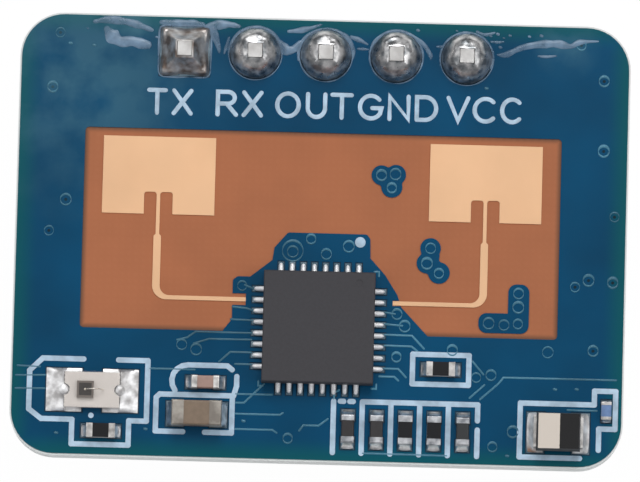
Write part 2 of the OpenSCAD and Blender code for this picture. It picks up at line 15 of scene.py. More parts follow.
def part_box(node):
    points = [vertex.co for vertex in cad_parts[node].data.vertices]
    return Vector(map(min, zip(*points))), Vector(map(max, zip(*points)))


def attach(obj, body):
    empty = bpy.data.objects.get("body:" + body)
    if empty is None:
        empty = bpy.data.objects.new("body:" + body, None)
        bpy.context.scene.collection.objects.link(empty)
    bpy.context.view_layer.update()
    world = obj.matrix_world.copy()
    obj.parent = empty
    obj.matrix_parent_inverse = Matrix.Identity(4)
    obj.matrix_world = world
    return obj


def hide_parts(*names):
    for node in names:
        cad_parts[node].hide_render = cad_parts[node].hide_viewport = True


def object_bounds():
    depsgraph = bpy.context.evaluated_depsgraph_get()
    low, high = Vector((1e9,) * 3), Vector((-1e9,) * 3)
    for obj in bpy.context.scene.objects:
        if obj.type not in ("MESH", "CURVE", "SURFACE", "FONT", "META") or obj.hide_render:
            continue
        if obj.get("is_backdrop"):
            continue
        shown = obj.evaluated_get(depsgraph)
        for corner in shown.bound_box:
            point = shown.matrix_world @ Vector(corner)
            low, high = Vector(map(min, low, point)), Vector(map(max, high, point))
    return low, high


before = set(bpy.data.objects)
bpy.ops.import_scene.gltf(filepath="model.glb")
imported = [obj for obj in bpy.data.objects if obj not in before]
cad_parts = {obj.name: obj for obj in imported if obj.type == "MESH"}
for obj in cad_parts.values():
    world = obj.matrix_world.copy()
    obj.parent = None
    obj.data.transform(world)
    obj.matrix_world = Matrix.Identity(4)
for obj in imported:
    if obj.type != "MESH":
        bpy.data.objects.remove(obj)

bl_info = {
    "name": "Radar Sensor Module Looks",
    "version": (1, 0, 0),
    "blender": (4, 5, 0),
    "location": "View3D > Sidebar > Radar Module",
    "description": "Finishes, printing, solder and stage of a microwave radar sensor module",
    "category": "Object",
}

MM = 1000.0
BOARD_LOW, BOARD_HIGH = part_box("board")
FACE_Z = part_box("front_solder_mask")[1].z
ORIGIN = Vector(((BOARD_LOW.x + BOARD_HIGH.x) / 2, (BOARD_LOW.y + BOARD_HIGH.y) / 2, FACE_Z))
HALF_BOARD = (BOARD_HIGH - BOARD_LOW) / 2
CHIP_LOW, CHIP_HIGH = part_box("radar_chip")
PIN_NAMES = ["tx", "rx", "out", "gnd", "vcc"]
PIN_TOP = (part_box("pin_tx")[1].z - FACE_Z) * MM

# In millimetres: the solder under a part, the radius of a plated hole, the spacing and the
# earth paddle of the chip, and how far an added piece is sunk into what it lies on
PASTE = 0.04
HOLE_R = 0.512
LEAD_PITCH = 0.4
PADDLE_HALF = 1.25
SINK = 0.004

# In millimetres: the glass threads' spacing, half the width of the power capacitor's solder,
# the place of its burnt corner, and where along x the vias begin to show a middle of painted
# shade
THREAD_SPACING = 0.25
POWER_SOLDER_HALF = 0.74
BURNT_CORNER = (7.72, -7.4)
DARK_VIAS_X = 9

# Scale at which a Wave Texture has one band a millimetre
BANDS_PER_MM = 314.16

# In metres: the board's corner, how far the chip's lands reach out from its sides and stop
# short of its corners, the antenna window, and the end of the polarity band
CORNER_R = 0.0016
LANDS_REACH = 0.00046
LANDS_STOP = 0.0004
WINDOW_MIDDLE = ORIGIN + Vector((0, 0.00025, 0))
WINDOW_HALF = Vector((0.008575, 0.00363, 0))
BAND_END_X = ORIGIN.x + 0.00873

# In metres, how far in from its edge each band shows: the mask's green rim, the shade painted on
# the laminate along the antenna window's edge, and the pale sawn edge of the board
RIM_BAND = 0.0009
WINDOW_SHADE_BAND = 0.00022
SAWN_BAND = 0.000068

# Corners of a square of half width 1, in order
SQUARE = [(-1, -1), (1, -1), (1, 1), (-1, 1)]


def linear(hex_colour):
    """Turns an sRGB hex colour into the linear colour that Blender's sockets hold."""
    parts = [int(hex_colour[i:i + 2], 16) / 255 for i in (1, 3, 5)]
    return (*[c / 12.92 if c <= 0.04045 else ((c + 0.055) / 1.055) ** 2.4 for c in parts], 1.0)


# Sizes and colours that a user would change


class RadarColours(bpy.types.PropertyGroup):
    """Colours of the finishes, as they look under plain light."""

    mask: bpy.props.FloatVectorProperty(
        name="Solder mask", description="Blue lacquer in the middle of the board",
        subtype="COLOR", size=4, min=0, max=1, default=linear("#004466"))
    mask_rim: bpy.props.FloatVectorProperty(
        name="Mask rim", description="Thinner, greener lacquer along the board's edge",
        subtype="COLOR", size=4, min=0, max=1, default=linear("#06585b"))
    laminate: bpy.props.FloatVectorProperty(
        name="Laminate", description="Bare glass-epoxy in the antenna window",
        subtype="COLOR", size=4, min=0, max=1, default=linear("#ab6844"))
    # The ridge colour is partly the paler lacquer over copper and partly a painted highlight
    ridge: bpy.props.FloatVectorProperty(
        name="Ridge", description="Lacquer stretched thin over tracks and vias",
        subtype="COLOR", size=4, min=0, max=1, default=linear("#46788e"))
    gold: bpy.props.FloatVectorProperty(
        name="Gold", description="Gilt copper of the patch antennas",
        subtype="COLOR", size=4, min=0, max=1, default=linear("#dfb58f"))
    ink: bpy.props.FloatVectorProperty(
        name="Ink", description="Printed outlines and pin labels",
        subtype="COLOR", size=4, min=0, max=1, default=linear("#aec6d9"))
    mould: bpy.props.FloatVectorProperty(
        name="Chip mould", description="Moulded top of the radar chip",
        subtype="COLOR", size=4, min=0, max=1, default=linear("#37363a"))
    solder: bpy.props.FloatVectorProperty(
        name="Solder", description="Bright tin solder",
        subtype="COLOR", size=4, min=0, max=1, default=linear("#dddcdb"))
    band: bpy.props.FloatVectorProperty(
        name="Polarity band", description="Pale band on the power capacitor",
        subtype="COLOR", size=4, min=0, max=1, default=linear("#d6ccc0"))


class RadarSizes(bpy.types.PropertyGroup):
    """Sizes of the printing and of the relief under the mask."""

    label_height: bpy.props.FloatProperty(
        name="Label height", description="Height of the capitals beside the pins",
        unit="LENGTH", precision=5, min=0.0006, max=0.0012, default=0.00098)
    label_stroke: bpy.props.FloatProperty(
        name="Label stroke", description="Width of a stroke of the labels",
        unit="LENGTH", precision=5, min=0.00008, max=0.0002, default=0.000155)
    ink_height: bpy.props.FloatProperty(
        name="Ink height", description="Thickness of the printed ink",
        unit="LENGTH", precision=6, min=0.000005, max=0.00003, default=0.000014)
    track_width: bpy.props.FloatProperty(
        name="Track width", description="Width of a copper track under the mask",
        unit="LENGTH", precision=5, min=0.00005, max=0.00016, default=0.000075)
    track_height: bpy.props.FloatProperty(
        name="Track height", description="How far a covered track stands up",
        unit="LENGTH", precision=6, min=0.000005, max=0.00004, default=0.000022)
    via_radius: bpy.props.FloatProperty(
        name="Via radius", description="Radius of the ridge round a covered via",
        unit="LENGTH", precision=5, min=0.0001, max=0.00025, default=0.00018)


class RadarStage(bpy.types.PropertyGroup):
    """Camera and light."""

    elevation: bpy.props.FloatProperty(
        name="Elevation", description="Height of the camera above the board's plane",
        subtype="ANGLE", min=0.1, max=1.57, default=math.radians(83.5))
    roll: bpy.props.FloatProperty(
        name="Roll", description="Turn of the camera about its own axis",
        subtype="ANGLE", min=-1.0, max=1.0, default=math.radians(1.55))
    distance: bpy.props.FloatProperty(
        name="Distance", description="From the camera to the board",
        unit="LENGTH", min=0.1, max=1.0, default=0.2875)
    brightness: bpy.props.FloatProperty(
        name="Brightness", description="Level of all the lamps together",
        subtype="FACTOR", min=0.0, max=3.0, default=1.0)


# Helpers for pieces


def board_box(node):
    """Lowest and highest corner of a CAD node in board millimetres."""
    low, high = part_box(node)
    return (low - ORIGIN) * MM, (high - ORIGIN) * MM


def skin(bm, rows, close_rows=False, close_columns=False):
    """Joins rows of points into a surface of quads."""
    made = [[bm.verts.new(point) for point in row] for row in rows]
    height = len(made)
    width = len(made[0])
    for i in range(height if close_rows else height - 1):
        for j in range(width if close_columns else width - 1):
            a = made[i][j]
            b = made[i][(j + 1) % width]
            c = made[(i + 1) % height][(j + 1) % width]
            d = made[(i + 1) % height][j]
            bm.faces.new((a, b, c, d))
    return made


def swept(bm, sections, close_rows=False):
    """Joins closed sections into a solid, with a cap at each end unless the row closes."""
    made = skin(bm, sections, close_rows, True)
    if not close_rows:
        bm.faces.new(list(reversed(made[0])))
        bm.faces.new(made[-1])


def add_piece(name, bm, material, stands_for=(), sharp=60):
    """Turns a mesh in board millimetres into a piece of the module, in metres."""
    bmesh.ops.remove_doubles(bm, verts=bm.verts, dist=1e-5)
    bmesh.ops.dissolve_degenerate(bm, edges=bm.edges, dist=1e-6)
    bmesh.ops.recalc_face_normals(bm, faces=bm.faces)
    bmesh.ops.transform(bm, matrix=Matrix.Translation(ORIGIN) @ Matrix.Scale(1 / MM, 4),
                        verts=bm.verts)
    mesh = bpy.data.meshes.new(name)
    bm.to_mesh(mesh)
    bm.free()
    mesh.polygons.foreach_set("use_smooth", [True] * len(mesh.polygons))
    mesh.set_sharp_from_angle(angle=math.radians(sharp))
    mesh.materials.append(material)
    piece = bpy.data.objects.new(name, mesh)
    bpy.context.scene.collection.objects.link(piece)
    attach(piece, "root")
    if stands_for:
        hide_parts(*stands_for)


def finish_nodes(material, *nodes):
    """Gives CAD nodes a finish."""
    for node in nodes:
        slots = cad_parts[node].material_slots
        if not slots:
            raise RuntimeError("no material slot on " + node)
        for slot in slots:
            slot.material = material


def ease(x):
    """Smooth step from 0 to 1."""
    x = min(1.0, max(0.0, x))
    return x * x * (3 - 2 * x)


def curve_through(points):
    """Points of a smooth curve through the given ones."""
    last = len(points) - 1
    steps = 6
    out = []
    for i in range(last):
        p0, p1, p2, p3 = [Vector(points[min(last, max(0, i + k))]) for k in (-1, 0, 1, 2)]
        for k in range(steps):
            t = k / steps
            out.append(0.5 * (2 * p1 + (p2 - p0) * t + (2 * p0 - 5 * p1 + 4 * p2 - p3) * t * t
                              + (3 * p1 - p0 - 3 * p2 + p3) * t ** 3))
    out.append(Vector(points[-1]))
    return out


def bead(bm, points, half, height, crown=2.0, closed=False, uneven=0.0):
    """Lays a crowned bead along a path of (x, y) or (x, y, half width) points."""
    path = [Vector((p[0], p[1])) for p in points]
    halves = [p[2] if len(p) > 2 else half for p in points]
    if not closed:
        for end, inward in ((0, 1), (-1, -2)):
            away = (path[end] - path[inward]).normalized()
            tip = path[end]
            wide = halves[end]
            for turn in (35, 62, 82):
                a = math.radians(turn)
                spot = tip + away * wide * math.sin(a)
                at = 0 if end == 0 else len(path)
                path.insert(at, spot)
                halves.insert(at, wide * math.cos(a))
    count = len(path)
    sections = []
    for i, here in enumerate(path):
        before = path[i - 1] if closed or i else here
        after = path[(i + 1) % count] if closed or i < count - 1 else here
        into = (here - before).normalized() if here != before else (after - here).normalized()
        onto = (after - here).normalized() if after != here else into
        along = (into + onto).normalized()
        side = Vector((-along.y, along.x)) / max(0.5, along.dot(onto))
        w = halves[i] * (1 + uneven * noise.noise(Vector((here.x * 3, here.y * 3, 5))))
        rise = height * min(1.0, (halves[i] / max(half, 1e-6)) ** 0.5)
        section = []
        for k in range(9):
            s = -1 + k / 4
            p = here + side * (w * math.sin(s * math.pi / 2))
            z = rise * (1 - abs(math.sin(s * math.pi / 2)) ** crown)
            section.append((p.x, p.y, z))
        right = here + side * w
        left = here - side * w
        section.append((right.x, right.y, -SINK))
        section.append((left.x, left.y, -SINK))
        sections.append(section)
    swept(bm, sections, closed)


def arc(cx, cy, rx, ry, start, end, steps=20):
    """Points of an elliptical arc, with its angles in degrees."""
    angles = [math.radians(start + (end - start) * i / steps) for i in range(steps + 1)]
    return [(cx + rx * math.cos(a), cy + ry * math.sin(a)) for a in angles]


def worn_ring(cx, cy, r, half):
    """A ring whose ridge stands up above and below and sinks away at its sides."""
    points = []
    half *= 1 + 0.7 * noise.noise(Vector((cx * 5, cy * 5, 2)))
    for i in range(32):
        a = 2 * math.pi * i / 32
        wide = half * (0.1 + 0.9 * abs(math.sin(a)) ** 0.8 + 0.2 * math.sin(a) + 0.1)
        points.append((cx + r * math.cos(a), cy + r * math.sin(a), wide))
    return points


def ring(cx, cy, r, steps):
    """Points of a whole ring, without repeating the first."""
    return arc(cx, cy, r, r, 0, 360, steps)[:-1]


# Helpers for finishes


def add_node(tree, kind, settings=None, links=None):
    """Adds a node, sets its properties and sockets, and links its inputs."""
    made = tree.nodes.new(kind)
    for key, value in (settings or {}).items():
        if isinstance(key, str) and hasattr(made, key):
            setattr(made, key, value)
        else:
            made.inputs[key].default_value = value
    for key, source in (links or {}).items():
        tree.links.new(source, made.inputs[key])
    return made


def new_finish(name, settings):
    """A material with one shader: returns it, its tree, the shader and the place in metres."""
    material = bpy.data.materials.new(name)
    material.use_nodes = True
    tree = material.node_tree
    tree.nodes.clear()
    shader = add_node(tree, "ShaderNodeBsdfPrincipled", settings)
    add_node(tree, "ShaderNodeOutputMaterial", None, {"Surface": shader.outputs["BSDF"]})
    place = add_node(tree, "ShaderNodeTexCoord")
    return material, tree, shader, place


def per_mm(size):
    """Texture scale for a pattern that repeats every so many millimetres."""
    return MM / size


def grain(tree, shader, place, size, depth, detail=3.0):
    """Gives a shader fine relief: bumps of that size and depth in millimetres."""
    bumps = add_node(tree, "ShaderNodeTexNoise", {"Scale": per_mm(size), "Detail": detail},
                     {"Vector": place.outputs["Object"]})
    relief = add_node(tree, "ShaderNodeBump", {"Strength": 1.0, "Distance": depth / MM},
                      {"Height": bumps.outputs["Fac"]})
    tree.links.new(relief.outputs["Normal"], shader.inputs["Normal"])


def patchy(tree, shader, place, socket, size, low, high):
    """Varies a colour or a number of a shader in soft patches of that size. Returns the
    colour, for finishes that change it further."""
    patches = add_node(tree, "ShaderNodeTexNoise", {"Scale": per_mm(size), "Detail": 3.0},
                       {"Vector": place.outputs["Object"]})
    spread = add_node(tree, "ShaderNodeMapRange", {"From Min": 0.35, "From Max": 0.65},
                      {"Value": patches.outputs["Fac"]})
    varied = spread.outputs["Result"]
    if socket == "Base Color":
        mix = add_node(tree, "ShaderNodeMix", {"data_type": "RGBA", 6: low, 7: high},
                       {0: varied})
        varied = mix.outputs[2]
    else:
        spread.inputs["To Min"].default_value = low
        spread.inputs["To Max"].default_value = high
    tree.links.new(varied, shader.inputs[socket])
    return varied


def off_middle(tree, place, middle):
    """How far a place lies from a point along x and along y, whichever way."""
    away = add_node(tree, "ShaderNodeVectorMath", {"operation": "SUBTRACT"},
                    {0: place.outputs["Object"]})
    away.inputs[1].default_value = middle
    size = add_node(tree, "ShaderNodeVectorMath", {"operation": "ABSOLUTE"},
                    {0: away.outputs[0]})
    split = add_node(tree, "ShaderNodeSeparateXYZ", None, {0: size.outputs[0]})
    return split.outputs["X"], split.outputs["Y"]


def edge_band(tree, place, middle, half, depth, most=1.0):
    """Rises from 0 to most over a band along the inside of a rectangle's sides."""
    near = [add_node(tree, "ShaderNodeMapRange",
                     {"From Min": side - depth, "From Max": side, "To Max": most,
                      "interpolation_type": "SMOOTHSTEP"}, {"Value": off})
            for off, side in zip(off_middle(tree, place, middle), half)]
    band = add_node(tree, "ShaderNodeMath", {"operation": "MAXIMUM"},
                    {0: near[0].outputs["Result"], 1: near[1].outputs["Result"]})
    return band.outputs[0]


def within(tree, place, spot, far, close, most):
    """Rises from 0 to most between two distances from a spot, given in millimetres."""
    away = add_node(tree, "ShaderNodeVectorMath", {"operation": "DISTANCE"},
                    {0: place.outputs["Object"]})
    away.inputs[1].default_value = ORIGIN + Vector((*spot, 0)) / MM
    level = add_node(tree, "ShaderNodeMapRange",
                     {"From Min": far / MM, "From Max": close / MM, "To Max": most},
                     {"Value": away.outputs["Value"]})
    return level.outputs["Result"]


def toned(colour, factor):
    """The same colour, lighter or darker."""
    return (*[min(1.0, c * factor) for c in colour[:3]], 1.0)


def metal(name, dark, light, rough, grain_size, depth, patch, share=1.0):
    """A bare metal whose tone and polish change in patches, with a fine grain. A share
    under 1 frosts it, as fine crystals in the skin scatter the light."""
    material, tree, shader, place = new_finish(name, {"Metallic": share})
    patchy(tree, shader, place, "Base Color", patch, dark, light)
    patchy(tree, shader, place, "Roughness", patch * 0.7, rough[0], rough[1])
    grain(tree, shader, place, grain_size, depth)
    return material


def glazed(name, colour, rough, fleck, contrast, depth, ior=1.5):
    """A fired or moulded surface: nearly one colour, with small flecks and a soft grain."""
    material, tree, shader, place = new_finish(name, {"IOR": ior, "Roughness": rough})
    patchy(tree, shader, place, "Base Color", fleck, toned(colour, 1 - contrast),
           toned(colour, 1 + contrast))
    grain(tree, shader, place, fleck * 0.4, depth)
    return material


# Middle (x, y), outer and inner radius in millimetres, and strength of the haze: painted sheen
# over the upper left, and dried flux by the header's ends
SHEEN_AND_FLUX_HAZE_AREAS = [((-8.5, 5.6), 5.5, 1.2, 0.62), ((-7.2, 7.5), 1.3, 0.5, 0.85),
               ((8.7, 7.2), 1.3, 0.3, 0.7)]


def solder_mask(name, colour, rim_colour, dark=0.85, light=1.2):
    """Sprayed epoxy lacquer, cured to a gloss. It is clear blue, so it looks deep over bare
    laminate, greener where it thins at the edge, and paler where it is stretched over copper.
    On the raised ridges that paler colour is also a painted highlight. A pale haze is painted
    over the upper left as the lamps' sheen, and by the header's ends as dried flux."""
    material, tree, shader, place = new_finish(name, {"IOR": 1.37, "Roughness": 0.2})
    body = patchy(tree, shader, place, "Base Color", 5.0, toned(colour, dark),
                  toned(colour, light))
    edge = edge_band(tree, place, ORIGIN, HALF_BOARD, RIM_BAND, 0.8)
    rim = add_node(tree, "ShaderNodeMix", {"data_type": "RGBA", 7: rim_colour},
                   {0: edge, 6: body})
    # A pale, uneven haze: a painted sheen of the lamps in the lacquer over the upper left, and
    # dried flux by the header's ends
    sheen_and_flux = None
    for area in SHEEN_AND_FLUX_HAZE_AREAS:
        level = within(tree, place, *area)
        if sheen_and_flux:
            most = add_node(tree, "ShaderNodeMath", {"operation": "MAXIMUM"},
                            {0: sheen_and_flux, 1: level})
            level = most.outputs[0]
        sheen_and_flux = level
    smear = add_node(tree, "ShaderNodeTexNoise", {"Scale": per_mm(1.6), "Detail": 4.0},
                     {"Vector": place.outputs["Object"]})
    blots = add_node(tree, "ShaderNodeMapRange",
                     {"From Min": 0.38, "From Max": 0.6, "To Min": 0.15, "To Max": 0.8},
                     {"Value": smear.outputs["Fac"]})
    haze = add_node(tree, "ShaderNodeMath", {"operation": "MULTIPLY"},
                    {0: sheen_and_flux, 1: blots.outputs["Result"]})
    hazed = add_node(tree, "ShaderNodeMix", {"data_type": "RGBA", 7: linear("#477485")},
                     {0: haze.outputs[0], 6: rim.outputs[2]})
    tree.links.new(hazed.outputs[2], shader.inputs["Base Color"])
    grain(tree, shader, place, 0.45, 0.0025, 2.0)
    return material


def bare_laminate():
    """Woven glass in epoxy, etched clean of copper: matt tan-brown, with the weave just
    showing, and with shade painted darker along the window's edge, where the mask meets it."""
    colours = bpy.context.scene.radar_colours
    material, tree, shader, place = new_finish("glass_epoxy_laminate",
                                               {"IOR": 1.35, "Roughness": 0.6})
    body = patchy(tree, shader, place, "Base Color", 2.5, toned(colours.laminate, 0.95),
                  toned(colours.laminate, 1.05))
    threads = [add_node(tree, "ShaderNodeTexWave",
                        {"Scale": BANDS_PER_MM / THREAD_SPACING, "Distortion": 1.0,
                         "bands_direction": axis}, {"Vector": place.outputs["Object"]})
               for axis in ("X", "Y")]
    weave = add_node(tree, "ShaderNodeMath", {"operation": "MULTIPLY"},
                     {0: threads[0].outputs["Fac"], 1: threads[1].outputs["Fac"]})
    # Painted shade: the laminate turns dark brown towards the window's edge
    edge = edge_band(tree, place, WINDOW_MIDDLE, WINDOW_HALF, WINDOW_SHADE_BAND)
    soft = add_node(tree, "ShaderNodeMath", {"operation": "MULTIPLY", 1: 0.8},
                    {0: edge})
    window_shade = add_node(tree, "ShaderNodeMix", {"data_type": "RGBA", 7: linear("#5f4332")},
                    {0: soft.outputs[0], 6: body})
    faint = add_node(tree, "ShaderNodeMath", {"operation": "MULTIPLY", 1: 0.035},
                     {0: weave.outputs[0]})
    woven = add_node(tree, "ShaderNodeMix", {"data_type": "RGBA", 7: linear("#c98a66")},
                     {0: faint.outputs[0], 6: window_shade.outputs[2]})
    # Lacquer creeps into the narrow gaps round the lands, so they look dark
    outside = add_node(tree, "ShaderNodeMath", {"operation": "GREATER_THAN", 1: 0.999},
                       {0: edge})
    beside = off_middle(tree, place, (*((CHIP_LOW + CHIP_HIGH) / 2).xy, 0))
    leads = []
    for test, limit in (("MAXIMUM", LANDS_REACH), ("MINIMUM", -LANDS_STOP)):
        far = add_node(tree, "ShaderNodeMath", {"operation": test},
                       {0: beside[0], 1: beside[1]})
        leads.append(add_node(tree, "ShaderNodeMath",
                              {"operation": "LESS_THAN",
                               1: (CHIP_HIGH.x - CHIP_LOW.x) / 2 + limit}, {0: far.outputs[0]}))
    chip = add_node(tree, "ShaderNodeMath", {"operation": "MULTIPLY"},
                    {0: leads[0].outputs[0], 1: leads[1].outputs[0]})
    gaps = add_node(tree, "ShaderNodeMath", {"operation": "MAXIMUM"},
                    {0: outside.outputs[0], 1: chip.outputs[0]})
    filled = add_node(tree, "ShaderNodeMix", {"data_type": "RGBA", 7: linear("#12374e")},
                      {0: gaps.outputs[0], 6: woven.outputs[2]})
    # The cut edge is pale, because the saw frays the glass threads
    ends = []
    for off, half in zip(off_middle(tree, place, ORIGIN), HALF_BOARD):
        past = add_node(tree, "ShaderNodeMath",
                        {"operation": "SUBTRACT", 1: half - CORNER_R}, {0: off})
        ends.append(add_node(tree, "ShaderNodeMath", {"operation": "MAXIMUM", 1: 0.0},
                             {0: past.outputs[0]}))
    round_x = add_node(tree, "ShaderNodeMath", {"operation": "MULTIPLY"},
                       {0: ends[0].outputs[0], 1: ends[0].outputs[0]})
    round_xy = add_node(tree, "ShaderNodeMath", {"operation": "MULTIPLY_ADD"},
                        {0: ends[1].outputs[0], 1: ends[1].outputs[0],
                         2: round_x.outputs[0]})
    reach = add_node(tree, "ShaderNodeMath", {"operation": "SQRT"}, {0: round_xy.outputs[0]})
    sawn = add_node(tree, "ShaderNodeMath",
                    {"operation": "GREATER_THAN", 1: CORNER_R - SAWN_BAND},
                    {0: reach.outputs[0]})
    pale = add_node(tree, "ShaderNodeMix", {"data_type": "RGBA", 7: linear("#dfe3e1")},
                    {0: sawn.outputs[0], 6: filled.outputs[2]})
    tree.links.new(pale.outputs[2], shader.inputs["Base Color"])
    relief = add_node(tree, "ShaderNodeBump", {"Strength": 0.5, "Distance": 0.000003},
                      {"Height": weave.outputs[0]})
    tree.links.new(relief.outputs["Normal"], shader.inputs["Normal"])
    return material


def top_coat(name, top, side, rough, band=None):
    """A block whose top is glazed or printed in one colour and whose sides are another. A
    band of a third colour may cover the left part of the top."""
    material, tree, shader, place = new_finish(name, {"IOR": 1.4, "Roughness": rough})
    up = add_node(tree, "ShaderNodeSeparateXYZ", None, {0: place.outputs["Normal"]})
    flat = add_node(tree, "ShaderNodeMath", {"operation": "GREATER_THAN", 1: 0.8},
                    {0: up.outputs["Z"]})
    body = patchy(tree, shader, place, "Base Color", 0.35, toned(top, 0.85), toned(top, 1.15))
    shown = body
    if band:
        at = add_node(tree, "ShaderNodeSeparateXYZ", None, {0: place.outputs["Object"]})
        ragged = add_node(tree, "ShaderNodeTexNoise", {"Scale": per_mm(0.12)},
                          {"Vector": place.outputs["Object"]})
        nudge = add_node(tree, "ShaderNodeMath", {"operation": "MULTIPLY_ADD", 1: 0.00002},
                         {0: ragged.outputs["Fac"], 2: at.outputs["X"]})
        before = add_node(tree, "ShaderNodeMath", {"operation": "LESS_THAN", 1: BAND_END_X},
                          {0: nudge.outputs[0]})
        printed = add_node(tree, "ShaderNodeMix", {"data_type": "RGBA", 7: band},
                           {0: before.outputs[0], 6: shown})
        shown = printed.outputs[2]
    mix = add_node(tree, "ShaderNodeMix", {"data_type": "RGBA", 6: side},
                   {0: flat.outputs[0], 7: shown})
    tree.links.new(mix.outputs[2], shader.inputs["Base Color"])
    grain(tree, shader, place, 0.07, 0.0012)
    return material


# Board, masks, lands and antennas


class RADAR_OT_board(bpy.types.Operator):
    """Finishes the laminate, both masks, the lands, the printed outlines and the antennas."""

    bl_idname = "radar.board"
    bl_label = "Board and Antennas"

    def execute(self, context):
        colours = context.scene.radar_colours
        finish_nodes(bare_laminate(), "board")
        finish_nodes(solder_mask("blue_solder_mask", colours.mask, colours.mask_rim),
                     "front_solder_mask", "back_solder_mask")
        # Screen-printed epoxy ink: matt, slightly uneven, thinner where it crosses a track
        finish_nodes(glazed("white_epoxy_ink", colours.ink, 0.6, 0.45, 0.16, 0.002),
                     "silkscreen_outlines")
        # Copper gilt by immersion: the copper's fine rolled grain softens the shine
        gilt = metal("immersion_gold_on_copper", toned(colours.gold, 0.93), colours.gold,
                     (0.42, 0.5), 0.06, 0.0012, 3.0)
        finish_nodes(gilt, "tx_patch_antenna", "rx_patch_antenna")
        # Solder wets the lands almost to their edges, and the rest is a dull, dark blue-grey
        finish_nodes(metal("tinned_copper_lands", linear("#3f5866"), linear("#71828c"),
                           (0.35, 0.5), 0.1, 0.003, 0.3, 0.55), "copper_pads")
        return {"FINISHED"}


# Relief of tracks and vias that the mask covers

# Paths of tracks, middles of vias and of small raised dots, all in board millimetres
TRACKS = [
    [(-2.4, -3.43), (-4.4, -3.43), (-4.7, -3.65), (-5.06, -3.74)],
    [(-2.4, -3.67), (-3.92, -3.68), (-4.46, -3.86)],
    [(-2.4, -4.13), (-3.14, -4.13), (-3.53, -4.49)],
    [(-2.4, -4.56), (-2.96, -4.56)],
    [(-5.99, -4.8), (-4.4, -4.8)],
    [(-10.75, -4.82), (-9.95, -4.84)],
    [(-10.8, -5.17), (-9.75, -5.14)],
    [(-10.8, -5.64), (-9.75, -5.62)],
    [(-2.9, -5.64), (-1.6, -5.63)],
    [(-2.9, -6.35), (-1.3, -6.35), (-1.2, -6.28)],
    [(-2.9, -6.9), (-1.55, -6.9), (-1.4, -7.0)],
    [(-0.6, -6.9), (-0.45, -6.7), (0.1, -6.7), (0.42, -6.45)],
    [(2.4, -3.36), (3.36, -3.37), (3.8, -3.83)],
    [(2.4, -3.75), (3.36, -3.76), (3.56, -3.92)],
    [(2.4, -4.58), (2.9, -4.58), (3.18, -4.88)],
    [(2.22, -4.87), (2.76, -4.87), (2.91, -5.0)],
    [(10.72, -4.78), (6.68, -4.79), (6.52, -5.0), (5.86, -5.6)],
    [(6.0, -5.08), (5.48, -5.56)],
    [(5.56, -4.24), (5.96, -4.7)],
    [(9.0, -5.9), (10.05, -5.9)],
    [(1.7, -7.65), (4.7, -7.66)],
    [(-2.68, -1.7), (-2.4, -1.82)],
    [(-3.1, -2.5), (-2.62, -2.53), (-2.4, -2.6)],
    [(-3.15, -2.95), (-2.4, -2.97)],
    [(2.4, -2.98), (3.0, -3.02)],
    [(2.4, -2.56), (2.72, -2.6)],
    [(-1.9, -5.25), (-2.6, -5.95), (-2.9, -5.95)],
    [(0.62, -5.72), (0.62, -5.5), (0.8, -5.4)],
]

VIAS = [
    (-9.58, 7.27), (-9.8, 5.29), (-9.21, 1.22), (-9.78, 0.08), (10.05, 6.02), (10.09, 3.48),
    (10.53, 1.11), (10.52, -1.27), (9.65, -1.21), (9.17, -1.46), (9.87, -3.75), (8.25, -3.84),
    (5.7, -4.82), (6.23, -4.72), (7.06, -6.74), (6.34, -7.3), (4.82, -3.86), (-1.0, -0.45),
    (-0.35, 0.02), (0.21, -0.51), (1.01, -0.21), (-2.78, -1.73), (2.8, -2.61), (3.09, -3.04),
    (2.82, -4.16), (-4.89, -3.91), (-4.37, -4.07), (-1.0, -7.19), (2.12, 2.4), (2.62, 2.45),
    (2.5, 1.95), (3.95, -0.2), (3.83, -0.75), (4.27, -1.1), (7.15, -1.75), (7.15, -2.25),
    (7.15, -2.85), (6.65, -2.9), (6.1, -2.85), (9.2, 7.3),
]

DOTS = [(8.54, -5.16), (9.32, -5.14), (6.88, -7.6), (-2.6, -6.6), (-6.1, -6.98),
        (-9.3, -7.2), (-5.3, 5.9), (5.82, 5.66), (-8.35, 6.85), (-9.2, 6.9)]


class RADAR_OT_mask_relief(bpy.types.Operator):
    """Adds the ridges that tracks and vias raise in the mask, paler partly as a painted
    highlight, and the via middles, dark with painted shade.
    """

    bl_idname = "radar.mask_relief"
    bl_label = "Relief under the Mask"

    def execute(self, context):
        sizes = context.scene.radar_sizes
        half = sizes.track_width * MM / 2
        height = sizes.track_height * MM
        radius = sizes.via_radius * MM
        ridge = context.scene.radar_colours.ridge
        # The ridges are paler partly as thin lacquer over copper and partly as a painted
        # highlight
        raised = solder_mask("mask_over_copper_with_painted_highlight", ridge, toned(ridge, 0.8), 0.5, 1.5)
        tracks = bmesh.new()
        for path in TRACKS:
            bead(tracks, path, half, height)
        add_piece("mask_over_tracks", tracks, raised)
        vias = bmesh.new()
        for i, (x, y) in enumerate(VIAS):
            r = radius * (0.92 + 0.16 * (i % 3) / 2)
            bead(vias, worn_ring(x, y, r, half), half, height * 1.5, closed=True)
        # One via by the chip has a second, wider ring
        bead(vias, worn_ring(-1.0, -0.42, 0.37, half), half, height, closed=True)
        for x, y in DOTS:
            bead(vias, [(x - 0.03, y), (x + 0.03, y - 0.01)], 0.05, height * 1.4)
        add_piece("mask_over_vias", vias, raised)
        # Painted shade: dark discs in the middles of the wider holes near the board's ends, for
        # the shade in the holes under the lacquer
        via_hole_shade = solder_mask("painted_shade_in_via_holes", toned(ridge, 0.12), toned(ridge, 0.12))
        middles = bmesh.new()
        for x, y in VIAS:
            if abs(x) > DARK_VIAS_X:
                swept(middles, [[(px, py, z) for px, py in ring(x, y, 0.055, 16)]
                                for z in (-SINK, SINK)])
        add_piece("via_hole_shade_discs", middles, via_hole_shade)
        return {"FINISHED"}


# Pin labels and small printed marks

